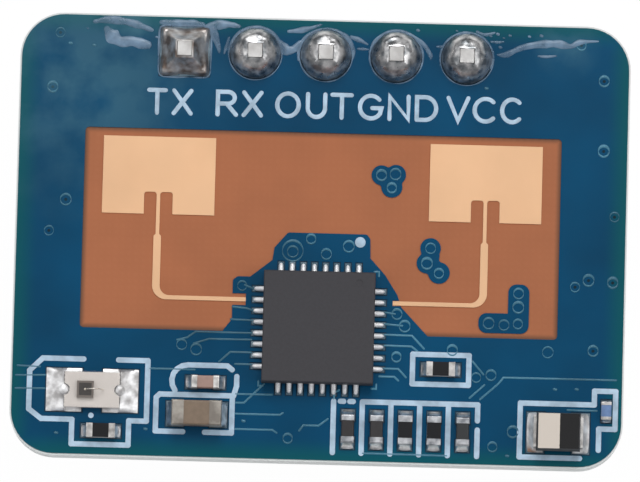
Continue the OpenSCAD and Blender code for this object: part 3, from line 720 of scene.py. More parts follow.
# Each letter with its left and right edge, and the line on which all of them stand
LABELS = [("T", -6.4, -5.65), ("X", -5.5, -4.73), ("R", -3.92, -3.1), ("X", -2.98, -2.2),
          ("O", -1.78, -0.85), ("U", -0.68, 0.1), ("T", 0.2, 1.05), ("G", 1.2, 2.15),
          ("N", 2.27, 3.1), ("D", 3.25, 4.1), ("V", 4.38, 5.25), ("C", 5.33, 6.25),
          ("C", 6.32, 7.18)]
LABEL_LOW = 4.37

# Strokes of each letter in a box of width and height 1
STROKES = {
    "T": [[(0, 1), (1, 1)], [(0.5, 1), (0.5, 0)]],
    "X": [[(0, 1), (1, 0)], [(0, 0), (1, 1)]],
    "R": [[(0, 0), (0, 1), *arc(0.55, 0.74, 0.36, 0.26, 90, -90), (0, 0.48)],
          [(0.48, 0.48), (1, 0)]],
    "U": [[(0, 1), *arc(0.5, 0.4, 0.5, 0.4, 180, 360), (1, 1)]],
    "G": [[*arc(0.5, 0.5, 0.5, 0.5, 42, 325), (0.97, 0.46), (0.56, 0.46)]],
    "N": [[(0, 0), (0, 1), (1, 0), (1, 1)]],
    "D": [[(0, 0), (0, 1), *arc(0.42, 0.5, 0.58, 0.5, 90, -90), (0, 0)]],
    "V": [[(0, 1), (0.5, 0), (1, 1)]],
    "C": [[*arc(0.52, 0.5, 0.52, 0.5, 46, 314)]],
}


class RADAR_OT_printing(bpy.types.Operator):
    """Prints the pin labels and the corner marks of the chip."""

    bl_idname = "radar.printing"
    bl_label = "Pin Labels"

    def execute(self, context):
        sizes = context.scene.radar_sizes
        half = sizes.label_stroke * MM / 2
        tall = sizes.label_height * MM - 2 * half
        height = sizes.ink_height * MM
        letters = bmesh.new()
        for letter, left, right in LABELS:
            wide = right - left - 2 * half
            if letter == "O":
                middle = (left + right) / 2
                loop = arc(middle, LABEL_LOW + half + tall / 2, wide / 2, tall / 2, 0, 360, 40)
                bead(letters, loop[:-1], half, height, crown=4.0, closed=True, uneven=0.08)
                continue
            for stroke in STROKES[letter]:
                path = [(left + half + x * wide, LABEL_LOW + half + y * tall)
                        for x, y in stroke]
                bead(letters, path, half, height, crown=4.0, uneven=0.08)
        ink = bpy.data.materials["white_epoxy_ink"]
        add_piece("pin_labels", letters, ink)
        marks = bmesh.new()
        for x, y, sx, sy in ((2.12, -1.1, 1, 1), (-2.1, -5.32, -1, -1), (2.12, -5.32, 1, -1)):
            bead(marks, [(x - 0.16 * sx, y), (x, y), (x, y - 0.16 * sy)], 0.035, height)
        # The corner marks take the ridges' paler colour, with its painted highlight
        add_piece("chip_corner_marks", marks,
                  bpy.data.materials["mask_over_copper_with_painted_highlight"])
        return {"FINISHED"}


# Header: housing, pins and the five hand-soldered joints


def joint_height(t, square, back):
    """Height of a joint's skin, from the pin at t = 0 to the rim at t = 1. Round pads draw
    the solder into a bell with a shoulder at the back, and the square pad into hollow
    sides."""
    if square:
        return (PIN_TOP - 0.17) * (1 - t) ** 1.75 + 0.16 * (1 - t ** 7)
    shoulder = 0.1 + 0.33 * max(0.0, back) ** 2
    fall = max(0.0, (t - shoulder) / (1 - shoulder))
    return (PIN_TOP - 0.01 - 0.22 * t) * (1 - fall ** 2.2) ** 0.68


def square_reach(a, power):
    """Distance from the middle to a rounded unit square's side, at an angle."""
    return (abs(math.cos(a)) ** power + abs(math.sin(a)) ** power) ** (-1 / power)


def solder_joint(bm, x, y, pin_half, rim, hole, depth, square, seed):
    """A cone of solder round a pin, with the barrel that fills the hole below it."""
    turns = 96
    steps = 18
    sections = []
    for j in range(turns):
        a = 2 * math.pi * j / turns
        away = Vector((math.cos(a), math.sin(a)))
        inner = pin_half * square_reach(a, 24)
        corner = abs(math.sin(2 * a))
        outer = rim
        if square:
            outer = rim * square_reach(a, 14) * (1 - 0.07 * (1 - corner ** 1.5))
        # The solder wets the pin's bevel, so it starts a little inside the pin's side
        start = inner - 0.054
        loop = [(x + away.x * start, y + away.y * start, PIN_TOP)]
        for i in range(steps + 1):
            t = i / steps
            r = inner + (outer - inner) * t
            p = away * r
            lump = noise.noise(Vector((p.x * 2.6, p.y * 2.6, seed)))
            fine = noise.noise(Vector((p.x * 7, p.y * 7, seed + 9)))
            z = joint_height(t, square, away.y)
            if square:
                z += 0.1 * corner ** 8 * math.exp(-((t - 0.84) / 0.12) ** 2)
            z += (0.05 * lump + 0.014 * fine) * 4 * t * (1 - t)
            loop.append((x + p.x, y + p.y, max(0.0, z)))
        for r, z in ((hole, 0.0), (hole, -depth)):
            loop.append((x + away.x * r, y + away.y * r, z))
        loop.append((x + away.x * inner, y + away.y * inner, -depth))
        sections.append(loop)
    skin(bm, sections, True, True)


class RADAR_OT_header(bpy.types.Operator):
    """Finishes the housing and the pins, and forms the solder joints."""

    bl_idname = "radar.header"
    bl_label = "Header and Solder Joints"

    def execute(self, context):
        colours = context.scene.radar_colours
        # Glass-filled nylon, moulded: black, slightly grey where fibres reach the skin
        finish_nodes(glazed("moulded_black_nylon", linear("#222224"), 0.48, 0.18, 0.25, 0.004),
                     "header_housing")
        # Brass drawn square and tinned: pale and a little warm, with dull handling marks
        finish_nodes(metal("tinned_brass", linear("#b3b1af"), linear("#d2d1cf"), (0.32, 0.38),
                           0.3, 0.002, 0.6), *["pin_" + name for name in PIN_NAMES])
        # Tin solder, melted by hand: skin wrinkles and dulls as it cools, and burnt flux
        # leaves it brown-grey in the hollows
        wrinkled = metal("hand_melted_solder", linear("#74787b"), toned(colours.solder, 0.94),
                         (0.24, 0.44), 0.17, 0.01, 0.36, 0.92)
        stained = metal("flux_stained_solder", linear("#7b6d64"), toned(colours.solder, 0.82),
                        (0.28, 0.46), 0.17, 0.009, 0.42, 0.82)
        depth = (FACE_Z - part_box("back_solder_mask")[0].z) * MM
        for i, name in enumerate(PIN_NAMES):
            low, high = board_box("pin_" + name)
            pad = board_box("solder_joint_" + name)
            middle = (low + high) / 2
            joint = bmesh.new()
            solder_joint(joint, middle.x, middle.y, (high.x - low.x) / 2,
                         (pad[1].x - pad[0].x) / 2, HOLE_R, depth, i == 0, 3.1 + 2.7 * i)
            add_piece("soldered_pin_" + name, joint, wrinkled if i else stained,
                      ["solder_joint_" + name])
        return {"FINISHED"}


# Flux that ran out of the joints and dried

# Smears as paths of (x, y, half width), and middles of loose specks
FLUX_SMEARS = [
    [(-7.9, 7.42, 0.1), (-7.72, 7.2, 0.19), (-7.4, 7.0, 0.15), (-7.0, 7.02, 0.13),
     (-6.7, 6.95, 0.15), (-6.42, 6.9, 0.1)],
    [(-8.35, 7.7, 0.06), (-7.9, 7.78, 0.09), (-7.3, 7.74, 0.1), (-6.8, 7.62, 0.1),
     (-6.3, 7.45, 0.06)],
    [(-5.95, 7.74, 0.06), (-5.5, 7.72, 0.1), (-4.9, 7.74, 0.09), (-4.45, 7.7, 0.06)],
    [(-4.3, 7.62, 0.08), (-3.9, 7.7, 0.13), (-3.5, 7.72, 0.1), (-3.15, 7.66, 0.05)],
    [(-4.1, 7.5, 0.12), (-3.98, 7.2, 0.1), (-3.88, 6.9, 0.06), (-3.84, 6.7, 0.03)],
    [(-3.5, 7.25, 0.03), (-3.58, 6.95, 0.05), (-3.66, 6.68, 0.03)],
    [(-3.4, 6.75, 0.04), (-3.36, 7.1, 0.06), (-3.05, 7.44, 0.07), (-2.55, 7.64, 0.06),
     (-2.05, 7.5, 0.07), (-1.74, 7.15, 0.1), (-1.45, 6.86, 0.13), (-1.15, 6.9, 0.11),
     (-0.95, 7.12, 0.08)],
    [(-1.35, 7.53, 0.05), (-1.0, 7.57, 0.08), (-0.6, 7.66, 0.06), (-0.2, 7.8, 0.03)],
    [(-0.98, 6.5, 0.03), (-0.96, 6.95, 0.05), (-0.72, 7.35, 0.06), (-0.25, 7.62, 0.05)],
    [(0.35, 7.62, 0.04), (0.75, 7.35, 0.07), (0.98, 6.95, 0.05), (0.98, 6.6, 0.02)],
    [(0.9, 7.38, 0.05), (1.2, 7.28, 0.07), (1.48, 7.14, 0.03)],
    [(1.15, 6.97, 0.03), (1.3, 6.96, 0.04), (1.52, 6.95, 0.02)],
    [(1.58, 6.85, 0.03), (1.75, 7.25, 0.04), (2.15, 7.56, 0.04), (2.6, 7.64, 0.04),
     (3.1, 7.5, 0.04), (3.5, 7.2, 0.05), (3.76, 6.82, 0.06), (3.78, 6.66, 0.02)],
    [(4.0, 7.12, 0.02), (4.15, 7.12, 0.04), (4.25, 7.15, 0.02)],
    [(4.22, 6.85, 0.03), (4.4, 7.2, 0.04), (4.75, 7.5, 0.04), (5.15, 7.62, 0.03)],
    [(5.5, 7.66, 0.03), (5.75, 7.6, 0.04), (6.05, 7.68, 0.03)],
    [(5.95, 7.35, 0.03), (6.2, 7.34, 0.04), (6.4, 7.36, 0.02)],
    [(5.9, 6.62, 0.12), (5.84, 6.42, 0.1)],
    [(6.2, 6.88, 0.03), (6.5, 6.9, 0.08), (7.0, 7.14, 0.07), (7.55, 7.28, 0.1),
     (8.3, 7.34, 0.11), (8.8, 7.26, 0.07), (9.15, 7.42, 0.08), (9.8, 7.47, 0.02)],
    [(7.65, 6.87, 0.02), (7.95, 6.86, 0.05), (8.3, 6.9, 0.02)],
]

FLUX_SPECKS = [(4.95, 7.68), (5.22, 7.52), (5.45, 7.7), (5.7, 7.46), (5.92, 7.56), (6.18, 7.64),
               (6.4, 7.5), (6.62, 7.6), (6.28, 7.16), (6.02, 7.0), (7.32, 7.58), (7.75, 7.62),
               (4.7, 7.72), (-0.45, 7.5), (3.3, 7.7), (-8.6, 7.45), (-6.1, 7.2)]


class RADAR_OT_flux(bpy.types.Operator):
    """Adds the dried flux along the header and the skirts of flux round the joints."""

    bl_idname = "radar.flux"
    bl_label = "Flux Residue"

    def execute(self, context):
        # Rosin flux, dried without washing: a clear, hard, glossy film with steep edges. Its pale
        # blue-grey colour is a painted sheen on that clear film.
        film, tree, shader, place = new_finish(
            "rosin_flux_with_painted_sheen", {"IOR": 1.5, "Roughness": 0.3, "Base Color": linear("#7c98b2")})
        patchy(tree, shader, place, "Alpha", 0.6, 0.35, 0.9)
        grain(tree, shader, place, 0.3, 0.002, 2.0)
        smears = bmesh.new()
        for path in FLUX_SMEARS:
            points = [(p.x, p.y, p.z * 1.35) for p in curve_through(path)]
            bead(smears, points, 0.1, 0.035, crown=4.0, uneven=0.35)
        for i, (x, y) in enumerate(FLUX_SPECKS):
            bead(smears, [(x - 0.02, y), (x + 0.02, y - 0.012)], 0.028 + 0.012 * (i % 3), 0.03)
        for i, name in enumerate(PIN_NAMES):
            low, high = board_box("solder_joint_" + name)
            middle = (low + high) / 2
            skirt = []
            for k in range(64):
                a = 2 * math.pi * k / 64
                r = (high.x - low.x) / 2 + 0.05
                if i == 0:
                    r *= square_reach(a, 10)
                wide = (0.034 + 0.016 * math.sin(a)
                        + 0.025 * noise.noise(Vector((math.cos(a) * 2, math.sin(a) * 2, i))))
                skirt.append((middle.x + r * math.cos(a), middle.y + r * math.sin(a), wide))
            bead(smears, skirt, 0.03, 0.03, closed=True)
        add_piece("flux_residue", smears, film)
        return {"FINISHED"}


# Radar chip


def solder_tongue(bm, x, y, turn, half, toe, top, under, hollow, narrow, crown, low):
    """Solder that runs from the end of a part, at (x, y), out along its land. It stands as
    high as top at the part and low at its toe. Under the part it is a thin slab."""
    along = Vector((math.cos(turn), math.sin(turn)))
    side = Vector((-along.y, along.x))
    sections = []
    steps = 12
    for i in range(-1, steps + 1):
        u = max(0, i) / steps
        at = -under if i < 0 else toe * u
        rounding = math.sqrt(max(0.02, 1 - max(0.0, (u - 0.72) / 0.3) ** 2))
        wide = half * (1 - narrow * u * u) * rounding
        high = PASTE if i < 0 else low + (top - low) * (1 - u) ** hollow
        high *= 1.0 if i < steps else 0.35
        section = []
        for k in range(13):
            s = math.sin((-1 + k / 6) * math.pi / 2)
            z = high * (1 - crown * s * s - (1 - crown) * abs(s) ** 9)
            p = Vector((x, y)) + along * at + side * (wide * s)
            section.append((p.x, p.y, z))
        for s in (1, -1):
            p = Vector((x, y)) + along * at + side * (wide * s)
            section.append((p.x, p.y, -SINK))
        sections.append(section)
    swept(bm, sections)


class RADAR_OT_radar_chip(bpy.types.Operator):
    """Finishes the radar chip and forms the solder at its leads."""

    bl_idname = "radar.radar_chip"
    bl_label = "Radar Chip"

    def execute(self, context):
        colours = context.scene.radar_colours
        # Epoxy moulding compound, filled with silica and left matt by the mould's surface
        finish_nodes(glazed("epoxy_mould_compound", colours.mould, 0.6, 0.09, 0.05, 0.0025, 1.45),
                     "radar_chip")
        # Copper alloy lead frame, plated with matt tin
        finish_nodes(metal("matt_tin_on_leads", linear("#a9a8a8"), linear("#dcdbda"),
                           (0.3, 0.45), 0.05, 0.002, 0.3), "radar_chip_leads")
        # Solder paste that melted in the oven: bright, smooth and a little frosted
        bright = metal("oven_melted_solder", linear("#e9ebee"), linear("#ffffff"),
                       (0.3, 0.45), 0.09, 0.002, 0.3, 0.2)
        low, high = board_box("radar_chip")
        middle = (low + high) / 2
        half = (high.x - low.x) / 2
        solder = bmesh.new()
        for side in range(4):
            turn = side * math.pi / 2
            along = Vector((math.cos(turn), math.sin(turn)))
            across = Vector((-along.y, along.x))
            for i in range(8):
                p = middle.xy + along * half + across * ((i - 3.5) * LEAD_PITCH)
                vary = 0.02 * noise.noise(Vector((i * 1.7, side * 2.3, 1)))
                solder_tongue(solder, p.x, p.y, turn, 0.092 + vary * 0.3, 0.345 + vary,
                              0.2, 0.4, 1.0, 0.25, 0.35, 0.13)
        swept(solder, [[(middle.x + x * PADDLE_HALF, middle.y + y * PADDLE_HALF, z)
                        for x, y in SQUARE] for z in (0, PASTE)])
        add_piece("radar_chip_joints", solder, bright,
                  ["radar_chip_solder"])
        return {"FINISHED"}


# Light sensor


def sensor_lens(bm, middle, half, bite, low, high):
    """A clear block with a half hole in each end and slightly rounded edges."""
    outline = []
    for sx in (1, -1):
        outline += [(sx * half.x, -sx * half.y), (sx * half.x, -sx * bite)]
        outline += [(sx * (half.x - bite * math.sin(math.radians(a))),
                     -sx * bite * math.cos(math.radians(a))) for a in range(15, 180, 15)]
        outline += [(sx * half.x, sx * bite), (sx * half.x, sx * half.y)]
    count = len(outline)
    rows = []
    for z, inset in ((low, 0.0), (high - 0.05, 0.0), (high - 0.015, 0.015), (high, 0.05)):
        row = []
        for i, p in enumerate(outline):
            here = Vector(p)
            into = (here - Vector(outline[i - 1])).normalized()
            onto = (Vector(outline[(i + 1) % count]) - here).normalized()
            normal = Vector((-into.y - onto.y, into.x + onto.x)).normalized()
            q = here + normal * inset
            row.append((middle.x + q.x, middle.y + q.y, z))
        rows.append(row)
    swept(bm, rows)


class RADAR_OT_light_sensor(bpy.types.Operator):
    """Finishes the light sensor, its die, wire and solder."""

    bl_idname = "radar.light_sensor"
    bl_label = "Light Sensor"

    def execute(self, context):
        # White resin laminate of the sensor's own small board
        finish_nodes(glazed("white_resin_board", linear("#dcd5ce"), 0.5, 0.3, 0.02, 0.001),
                     "light_sensor_base")
        finish_nodes(metal("tinned_castellation", linear("#b5b3b0"), linear("#f2f1ef"),
                           (0.2, 0.35), 0.08, 0.003, 0.2), "light_sensor_terminals")
        # Polished silicon, dark where it takes in light, with a paler frame of metal round it
        die, tree, shader, place = new_finish("coated_silicon", {"IOR": 1.5,
                                                                 "Roughness": 0.3})
        field = patchy(tree, shader, place, "Base Color", 0.2, linear("#0d0908"),
                       linear("#241c18"))
        low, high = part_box("light_sensor_die")
        off = off_middle(tree, place, (low + high) / 2)
        rim = add_node(tree, "ShaderNodeMath", {"operation": "MAXIMUM"},
                       {0: off[0], 1: off[1]})
        wide = high.x - low.x
        framed = add_node(tree, "ShaderNodeMapRange",
                          {"From Min": wide * 0.36, "From Max": wide * 0.4},
                          {"Value": rim.outputs[0]})
        shown = add_node(tree, "ShaderNodeMix", {"data_type": "RGBA", 7: linear("#6b625b")},
                         {0: framed.outputs["Result"], 6: field})
        tree.links.new(shown.outputs[2], shader.inputs["Base Color"])
        finish_nodes(die, "light_sensor_die")
        # Drawn gold wire, a fortieth of a millimetre thick in life
        wire = metal("drawn_gold_wire", linear("#d3c9b8"), linear("#f2ece2"),
                     (0.2, 0.3), 0.05, 0.001, 0.2)
        finish_nodes(wire, "light_sensor_wire")
        low, high = board_box("light_sensor_die")
        ball = bmesh.new()
        rows = []
        for i in range(7):
            a = math.pi / 2 * i / 6
            rows.append([(px, py, high.z + 0.035 * math.sin(a)) for px, py in
                         ring((low.x + high.x) / 2, (low.y + high.y) / 2,
                              max(0.055 * math.cos(a), 1e-4), 20)])
        swept(ball, rows)
        add_piece("wire_bond_ball", ball, wire)
        # Cast clear epoxy with a milky filler, so the die shows softly through it
        clear, tree, shader, place = new_finish(
            "milky_clear_epoxy", {"IOR": 1.35, "Roughness": 0.15, "Alpha": 0.07})
        patchy(tree, shader, place, "Base Color", 0.8, linear("#dcd5cf"), linear("#e6e0da"))
        grain(tree, shader, place, 0.35, 0.002, 2.0)
        low, high = board_box("light_sensor_lens")
        middle = (low + high) / 2
        half = (high - low) / 2
        lens = bmesh.new()
        sensor_lens(lens, middle, half, 0.19, low.z + 0.001, high.z)
        add_piece("sensor_lens_block", lens, clear, ["light_sensor_lens"],
                  sharp=30)
        # The same solder in a wide pool, dulled in patches as it froze
        pool = metal("pooled_solder", linear("#a9a7a6"), linear("#ffffff"), (0.36, 0.5), 0.1,
                     0.004, 0.4, 0.7)
        solder = bmesh.new()
        reach = board_box("light_sensor_solder")
        toe = reach[1].x - (middle.x + half.x)
        for sx in (1, -1):
            lumpy_end(solder, middle.x + sx * half.x, middle.y, sx, 0.78, toe + 0.03, 0.62,
                      0.24, sx + 3)
        add_piece("sensor_end_joints", solder, pool,
                  ["light_sensor_solder"])
        return {"FINISHED"}


def lumpy_end(bm, x, y, sx, half, toe, under, top, seed):
    """A wide, uneven pool of solder at one end of the sensor, with a bead in its half hole."""
    steps = 22
    sections = []
    for i in range(steps + 1):
        u = -under + (under + toe) * i / steps
        section = []
        for k in range(25):
            s = -1 + k / 12
            v = half * s
            rim = min(1.0, (1 - abs(s)) / 0.14) * min(1.0, (toe - u) / 0.12 + 0.02)
            rise = 0.0
            if u > 0:
                hollow = (1 - u / toe) ** 1.4
                rise = (top - 0.05) * hollow * (0.85 + 0.3 * noise.noise(
                    Vector((u * 3.4, v * 2.2, seed))))
            z = 0.012 + 0.022 * math.sqrt(max(0.0, rim)) + rise * ease(rim)
            section.append((x + sx * u, y + v, z))
        section.append((x + sx * u, y + half, -SINK))
        section.append((x + sx * u, y - half, -SINK))
        sections.append(section)
    swept(bm, sections)
    rows = []
    for i in range(7):
        r = 0.18 * (1 - i / 6)
        z = 0.27 + 0.05 * (1 - (1 - i / 6) ** 2)
        rows.append([(x + sx * (0.012 + 0.95 * px), y + py, z)
                     for px, py in ring(0, 0, max(r, 1e-4), 24)])
    rows.insert(0, [(p[0], p[1], 0.0) for p in rows[0]])
    swept(bm, rows)


# Chip resistors and capacitors

CHIP_PARTS = ["sensor_resistor", "side_resistor", "small_capacitor", "large_capacitor",
              "power_capacitor", "tiny_resistor", "row_capacitor_1", "row_capacitor_2",
              "row_resistor_1", "row_resistor_2", "row_capacitor_3"]


class RADAR_OT_chip_parts(bpy.types.Operator):
    """Finishes the chip resistors and capacitors and forms the solder at their ends."""

    bl_idname = "radar.chip_parts"
    bl_label = "Resistors and Capacitors"

    def execute(self, context):
        colours = context.scene.radar_colours
        # Thick-film resistor: white alumina sides, black glass over the top
        glass = top_coat("black_glass_on_alumina", linear("#0c0d11"), linear("#cfcac4"), 0.35)
        finish_nodes(glass, "sensor_resistor", "side_resistor", "row_resistor_1",
                     "row_resistor_2")
        # The same with blue glass, on the smallest resistor
        finish_nodes(top_coat("blue_glass_on_alumina", linear("#6f8ab4"), linear("#d8d6d4"),
                              0.25), "tiny_resistor")
        # Fired barium titanate, each batch its own brown
        for name, tone in (("small_capacitor", "#a2857a"), ("large_capacitor", "#7d6b59"),
                           ("row_capacitor_1", "#231f21"), ("row_capacitor_2", "#262325"),
                           ("row_capacitor_3", "#232628")):
            finish_nodes(glazed("fired_ceramic_" + name, linear(tone), 0.42, 0.22, 0.07, 0.003),
                         name)
        # Moulded epoxy case with a polarity band of pale ink. Its sides are a painted highlight,
        # a little paler than the top of the same black moulding.
        finish_nodes(top_coat("banded_black_mould", linear("#050608"), linear("#1c1c1f"), 0.5,
                              colours.band), "power_capacitor")
        # Fired silver, plated with nickel and matt tin
        plated = metal("tin_plated_ends", linear("#a5a3a0"), linear("#dddbd8"), (0.32, 0.46),
                       0.14, 0.003, 0.35)
        finish_nodes(plated, *[name + "_ends" for name in CHIP_PARTS
                               if name != "large_capacitor" and "row" not in name])
        # The row's ends are plated matt and look duller
        finish_nodes(metal("matt_plated_row_ends", linear("#84878c"), linear("#c6c8cb"),
                           (0.36, 0.5), 0.14, 0.003, 0.3),
                     *[name + "_ends" for name in CHIP_PARTS if "row" in name])
        # The large capacitor's ends are dipped and dull
        finish_nodes(metal("dull_dipped_ends", linear("#857f78"), linear("#aca79f"),
                           (0.45, 0.6), 0.2, 0.005, 0.5), "large_capacitor_ends")
        fillets = bmesh.new()
        wide_fillets = bmesh.new()
        for name in CHIP_PARTS:
            solder = wide_fillets if name == "power_capacitor" else fillets
            low, high = board_box(name + "_ends")
            middle = (low + high) / 2
            along_x = high.x - low.x > high.y - low.y
            reach = (high.x - low.x if along_x else high.y - low.y) / 2
            half = (high.y - low.y if along_x else high.x - low.x) / 2
            if name == "power_capacitor":
                half = POWER_SOLDER_HALF
            top = PASTE + 0.62 * (high.z - low.z)
            toe = {"power_capacitor": 0.24, "tiny_resistor": 0.08}.get(name, 0.2)
            for sign in (1, -1):
                turn = (0 if along_x else math.pi / 2) + (0 if sign > 0 else math.pi)
                x = middle.x + (sign * reach if along_x else 0)
                y = middle.y + (0 if along_x else sign * reach)
                solder_tongue(solder, x, y, turn, half * 0.97, toe, top, reach * 0.4, 1.7,
                              0.06, 0.15, 0.04)
        # Solder paste that drew up the ends in the oven: thin, bright and hollow
        drawn = metal("drawn_up_solder", linear("#bab9b8"), linear("#f6f6f6"), (0.28, 0.4),
                      0.12, 0.002, 0.3)
        add_piece("chip_part_joints", fillets, drawn, ["chip_part_solder"])
        # Flux burnt brown at the near left corner of the power capacitor's land
        burnt, tree, shader, place = new_finish("burnt_corner_solder", {"Metallic": 0.55})
        plain = patchy(tree, shader, place, "Base Color", 0.5, linear("#c2c0be"),
                       linear("#ffffff"))
        patchy(tree, shader, place, "Roughness", 0.3, 0.36, 0.5)
        near = within(tree, place, BURNT_CORNER, 0.25, 0.1, 0.8)
        browned = add_node(tree, "ShaderNodeMix", {"data_type": "RGBA", 7: linear("#9a6238")},
                           {0: near, 6: plain})
        tree.links.new(browned.outputs[2], shader.inputs["Base Color"])
        add_piece("power_capacitor_joints", wide_fillets, burnt)
        return {"FINISHED"}


# Stage

# Name, azimuth, elevation, distance, side and level of each softbox
LAMPS = [
    ("back_softbox", 0, 58, 0.45, 0.24, 4.9),
    ("left_softbox", 95, 48, 0.45, 0.24, 1.2),
    ("right_softbox", -95, 48, 0.45, 0.24, 2.0),
]


def studio_sky(scene):
    """Lights the room from all round, paler in front than behind."""
    world = bpy.data.worlds.new("studio_sky")
    scene.world = world
    world.use_nodes = True
    tree = world.node_tree
    tree.nodes.clear()
    place = add_node(tree, "ShaderNodeTexCoord")
    split = add_node(tree, "ShaderNodeSeparateXYZ", None, {0: place.outputs["Generated"]})
    # The wall behind is dark and the one in front pale. Above both hangs the ceiling, with
    # the dark camera in its middle.
    walls = []
    for low, high, top in ((0.5, 0.36, 0.4), (0.13, 0.22, 0.62)):
        sky = add_node(tree, "ShaderNodeValToRGB", None, {0: split.outputs["Z"]})
        ramp = sky.color_ramp
        ramp.elements[0].position = 0.1
        ramp.elements[0].color = (low, low, low * 1.04, 1)
        ramp.elements[1].position = 0.45
        ramp.elements[1].color = (high, high, high * 1.04, 1)
        for position, level in ((0.75, top), (0.93, top), (0.985, 0.16)):
            stop = ramp.elements.new(position)
            stop.color = (level, level, level * 1.03, 1)
        walls.append(sky)
    side = add_node(tree, "ShaderNodeMapRange", {"From Min": -0.2, "From Max": 0.6},
                    {"Value": split.outputs["Y"]})
    room = add_node(tree, "ShaderNodeMix", {"data_type": "RGBA"},
                    {0: side.outputs["Result"], 6: walls[0].outputs["Color"],
                     7: walls[1].outputs["Color"]})
    glow = add_node(tree, "ShaderNodeBackground", {"Strength": 1.0},
                    {"Color": room.outputs[2]})
    add_node(tree, "ShaderNodeOutputWorld", None, {"Surface": glow.outputs[0]})


def white_floor(scene):
    """Lays a wide white card under the module."""
    floor_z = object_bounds()[0].z
    sheet = bmesh.new()
    wide = 1.5
    sheet.faces.new([sheet.verts.new((x * wide, y * wide, floor_z)) for x, y in SQUARE])
    mesh = bpy.data.meshes.new("floor")
    sheet.to_mesh(mesh)
    sheet.free()
    floor = bpy.data.objects.new("floor", mesh)
    scene.collection.objects.link(floor)
    floor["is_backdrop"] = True
    # White card: it shows as white to the camera and in metal, and keeps the shadow
    card = bpy.data.materials.new("white_card")
    card.use_nodes = True
    tree = card.node_tree
    tree.nodes.clear()
    matt = add_node(tree, "ShaderNodeBsdfDiffuse", {"Color": (0.9, 0.9, 0.9, 1)})
    lit = add_node(tree, "ShaderNodeEmission", {"Strength": 1.01})
    rays = add_node(tree, "ShaderNodeLightPath")
    seen = add_node(tree, "ShaderNodeMath", {"operation": "MAXIMUM"},
                    {0: rays.outputs["Is Camera Ray"], 1: rays.outputs["Is Glossy Ray"]})
    through = add_node(tree, "ShaderNodeMath", {"operation": "MAXIMUM"},
                       {0: seen.outputs[0], 1: rays.outputs["Is Transmission Ray"]})
    share = add_node(tree, "ShaderNodeMath", {"operation": "MULTIPLY", 1: 0.97},
                     {0: through.outputs[0]})
    both = add_node(tree, "ShaderNodeMixShader", None,
                    {0: share.outputs[0], 1: matt.outputs[0], 2: lit.outputs[0]})
    # It is clear from below, so that the module's back can be looked at
    facing = add_node(tree, "ShaderNodeNewGeometry")
    clear = add_node(tree, "ShaderNodeBsdfTransparent")
    one_way = add_node(tree, "ShaderNodeMixShader", None,
                       {0: facing.outputs["Backfacing"], 1: both.outputs[0],
                        2: clear.outputs[0]})
    add_node(tree, "ShaderNodeOutputMaterial", None, {"Surface": one_way.outputs[0]})
    mesh.materials.append(card)


def softboxes(scene):
    """Hangs three square softboxes round the module."""
    for name, azimuth, elevation, distance, size, level in LAMPS:
        lamp = bpy.data.lights.new(name, "AREA")
        lamp.shape = "SQUARE"
        lamp.size = size
        lamp.energy = level * scene.radar_stage.brightness * math.pi * size * size
        light = bpy.data.objects.new(name, lamp)
        a = math.radians(azimuth)
        e = math.radians(elevation)
        away = Vector((-math.sin(a) * math.cos(e), math.cos(a) * math.cos(e), math.sin(e)))
        light.location = ORIGIN + away * distance
        light.rotation_euler = (-away).to_track_quat("-Z", "Y").to_euler()
        scene.collection.objects.link(light)


def camera_over_board(scene):
    """Sets the camera where the photograph was taken from."""
    stage = scene.radar_stage
    camera = bpy.data.objects.new("camera", bpy.data.cameras.new("camera"))
    camera.data.sensor_width = 36
    camera.data.lens = 450
    camera.data.clip_start = 0.01
    back = Vector((0, -math.cos(stage.elevation), math.sin(stage.elevation)))
    target = ORIGIN + Vector((-0.00003, -0.00004, 0))
    camera.location = target + back * stage.distance
    turned = (-back).to_track_quat("-Z", "Y").to_matrix().to_4x4()
    camera.rotation_euler = (turned @ Matrix.Rotation(stage.roll, 4, "Z")).to_euler()
    scene.collection.objects.link(camera)
    scene.camera = camera


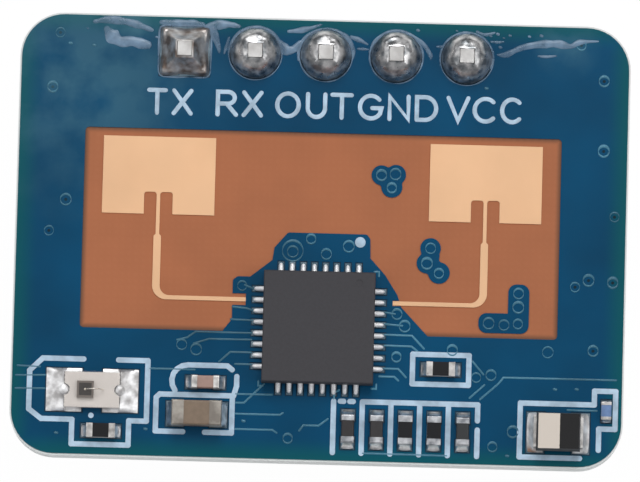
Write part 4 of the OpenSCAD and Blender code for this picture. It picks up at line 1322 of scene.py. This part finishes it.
class RADAR_OT_stage(bpy.types.Operator):
    """Sets up a pale floor, a soft studio sky, three softboxes and the camera."""

    bl_idname = "radar.stage"
    bl_label = "Stage"

    def execute(self, context):
        scene = context.scene
        scene.view_settings.view_transform = "Standard"
        studio_sky(scene)
        white_floor(scene)
        softboxes(scene)
        camera_over_board(scene)
        return {"FINISHED"}


class RADAR_PT_panel(bpy.types.Panel):
    """Lists the operators in the order in which they run."""

    bl_idname = "RADAR_PT_panel"
    bl_label = "Radar Module"
    bl_space_type = "VIEW_3D"
    bl_region_type = "UI"
    bl_category = "Radar Module"

    def draw(self, context):
        for operator in OPERATORS:
            self.layout.operator(operator.bl_idname)
        for group in (context.scene.radar_colours, context.scene.radar_sizes,
                      context.scene.radar_stage):
            box = self.layout.box()
            for name in group.bl_rna.properties.keys():
                if name not in ("rna_type", "name"):
                    box.prop(group, name)


GROUPS = [RadarColours, RadarSizes, RadarStage]
OPERATORS = [RADAR_OT_stage, RADAR_OT_board, RADAR_OT_mask_relief, RADAR_OT_printing,
             RADAR_OT_header, RADAR_OT_flux, RADAR_OT_radar_chip, RADAR_OT_light_sensor,
             RADAR_OT_chip_parts]


def register():
    """Registers the classes and hangs the property groups on the scene."""
    for cls in [*GROUPS, *OPERATORS, RADAR_PT_panel]:
        bpy.utils.register_class(cls)
    bpy.types.Scene.radar_colours = bpy.props.PointerProperty(type=RadarColours)
    bpy.types.Scene.radar_sizes = bpy.props.PointerProperty(type=RadarSizes)
    bpy.types.Scene.radar_stage = bpy.props.PointerProperty(type=RadarStage)


def unregister():
    """Takes the property groups and the classes away again."""
    del bpy.types.Scene.radar_stage
    del bpy.types.Scene.radar_sizes
    del bpy.types.Scene.radar_colours
    for cls in reversed([*GROUPS, *OPERATORS, RADAR_PT_panel]):
        bpy.utils.unregister_class(cls)


def main():
    """Builds every piece."""
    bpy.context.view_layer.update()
    register()
    bpy.ops.radar.stage()
    bpy.ops.radar.board()
    bpy.ops.radar.mask_relief()
    bpy.ops.radar.printing()
    bpy.ops.radar.header()
    bpy.ops.radar.flux()
    bpy.ops.radar.radar_chip()
    bpy.ops.radar.light_sensor()
    bpy.ops.radar.chip_parts()


if __name__ == "__main__":
    main()
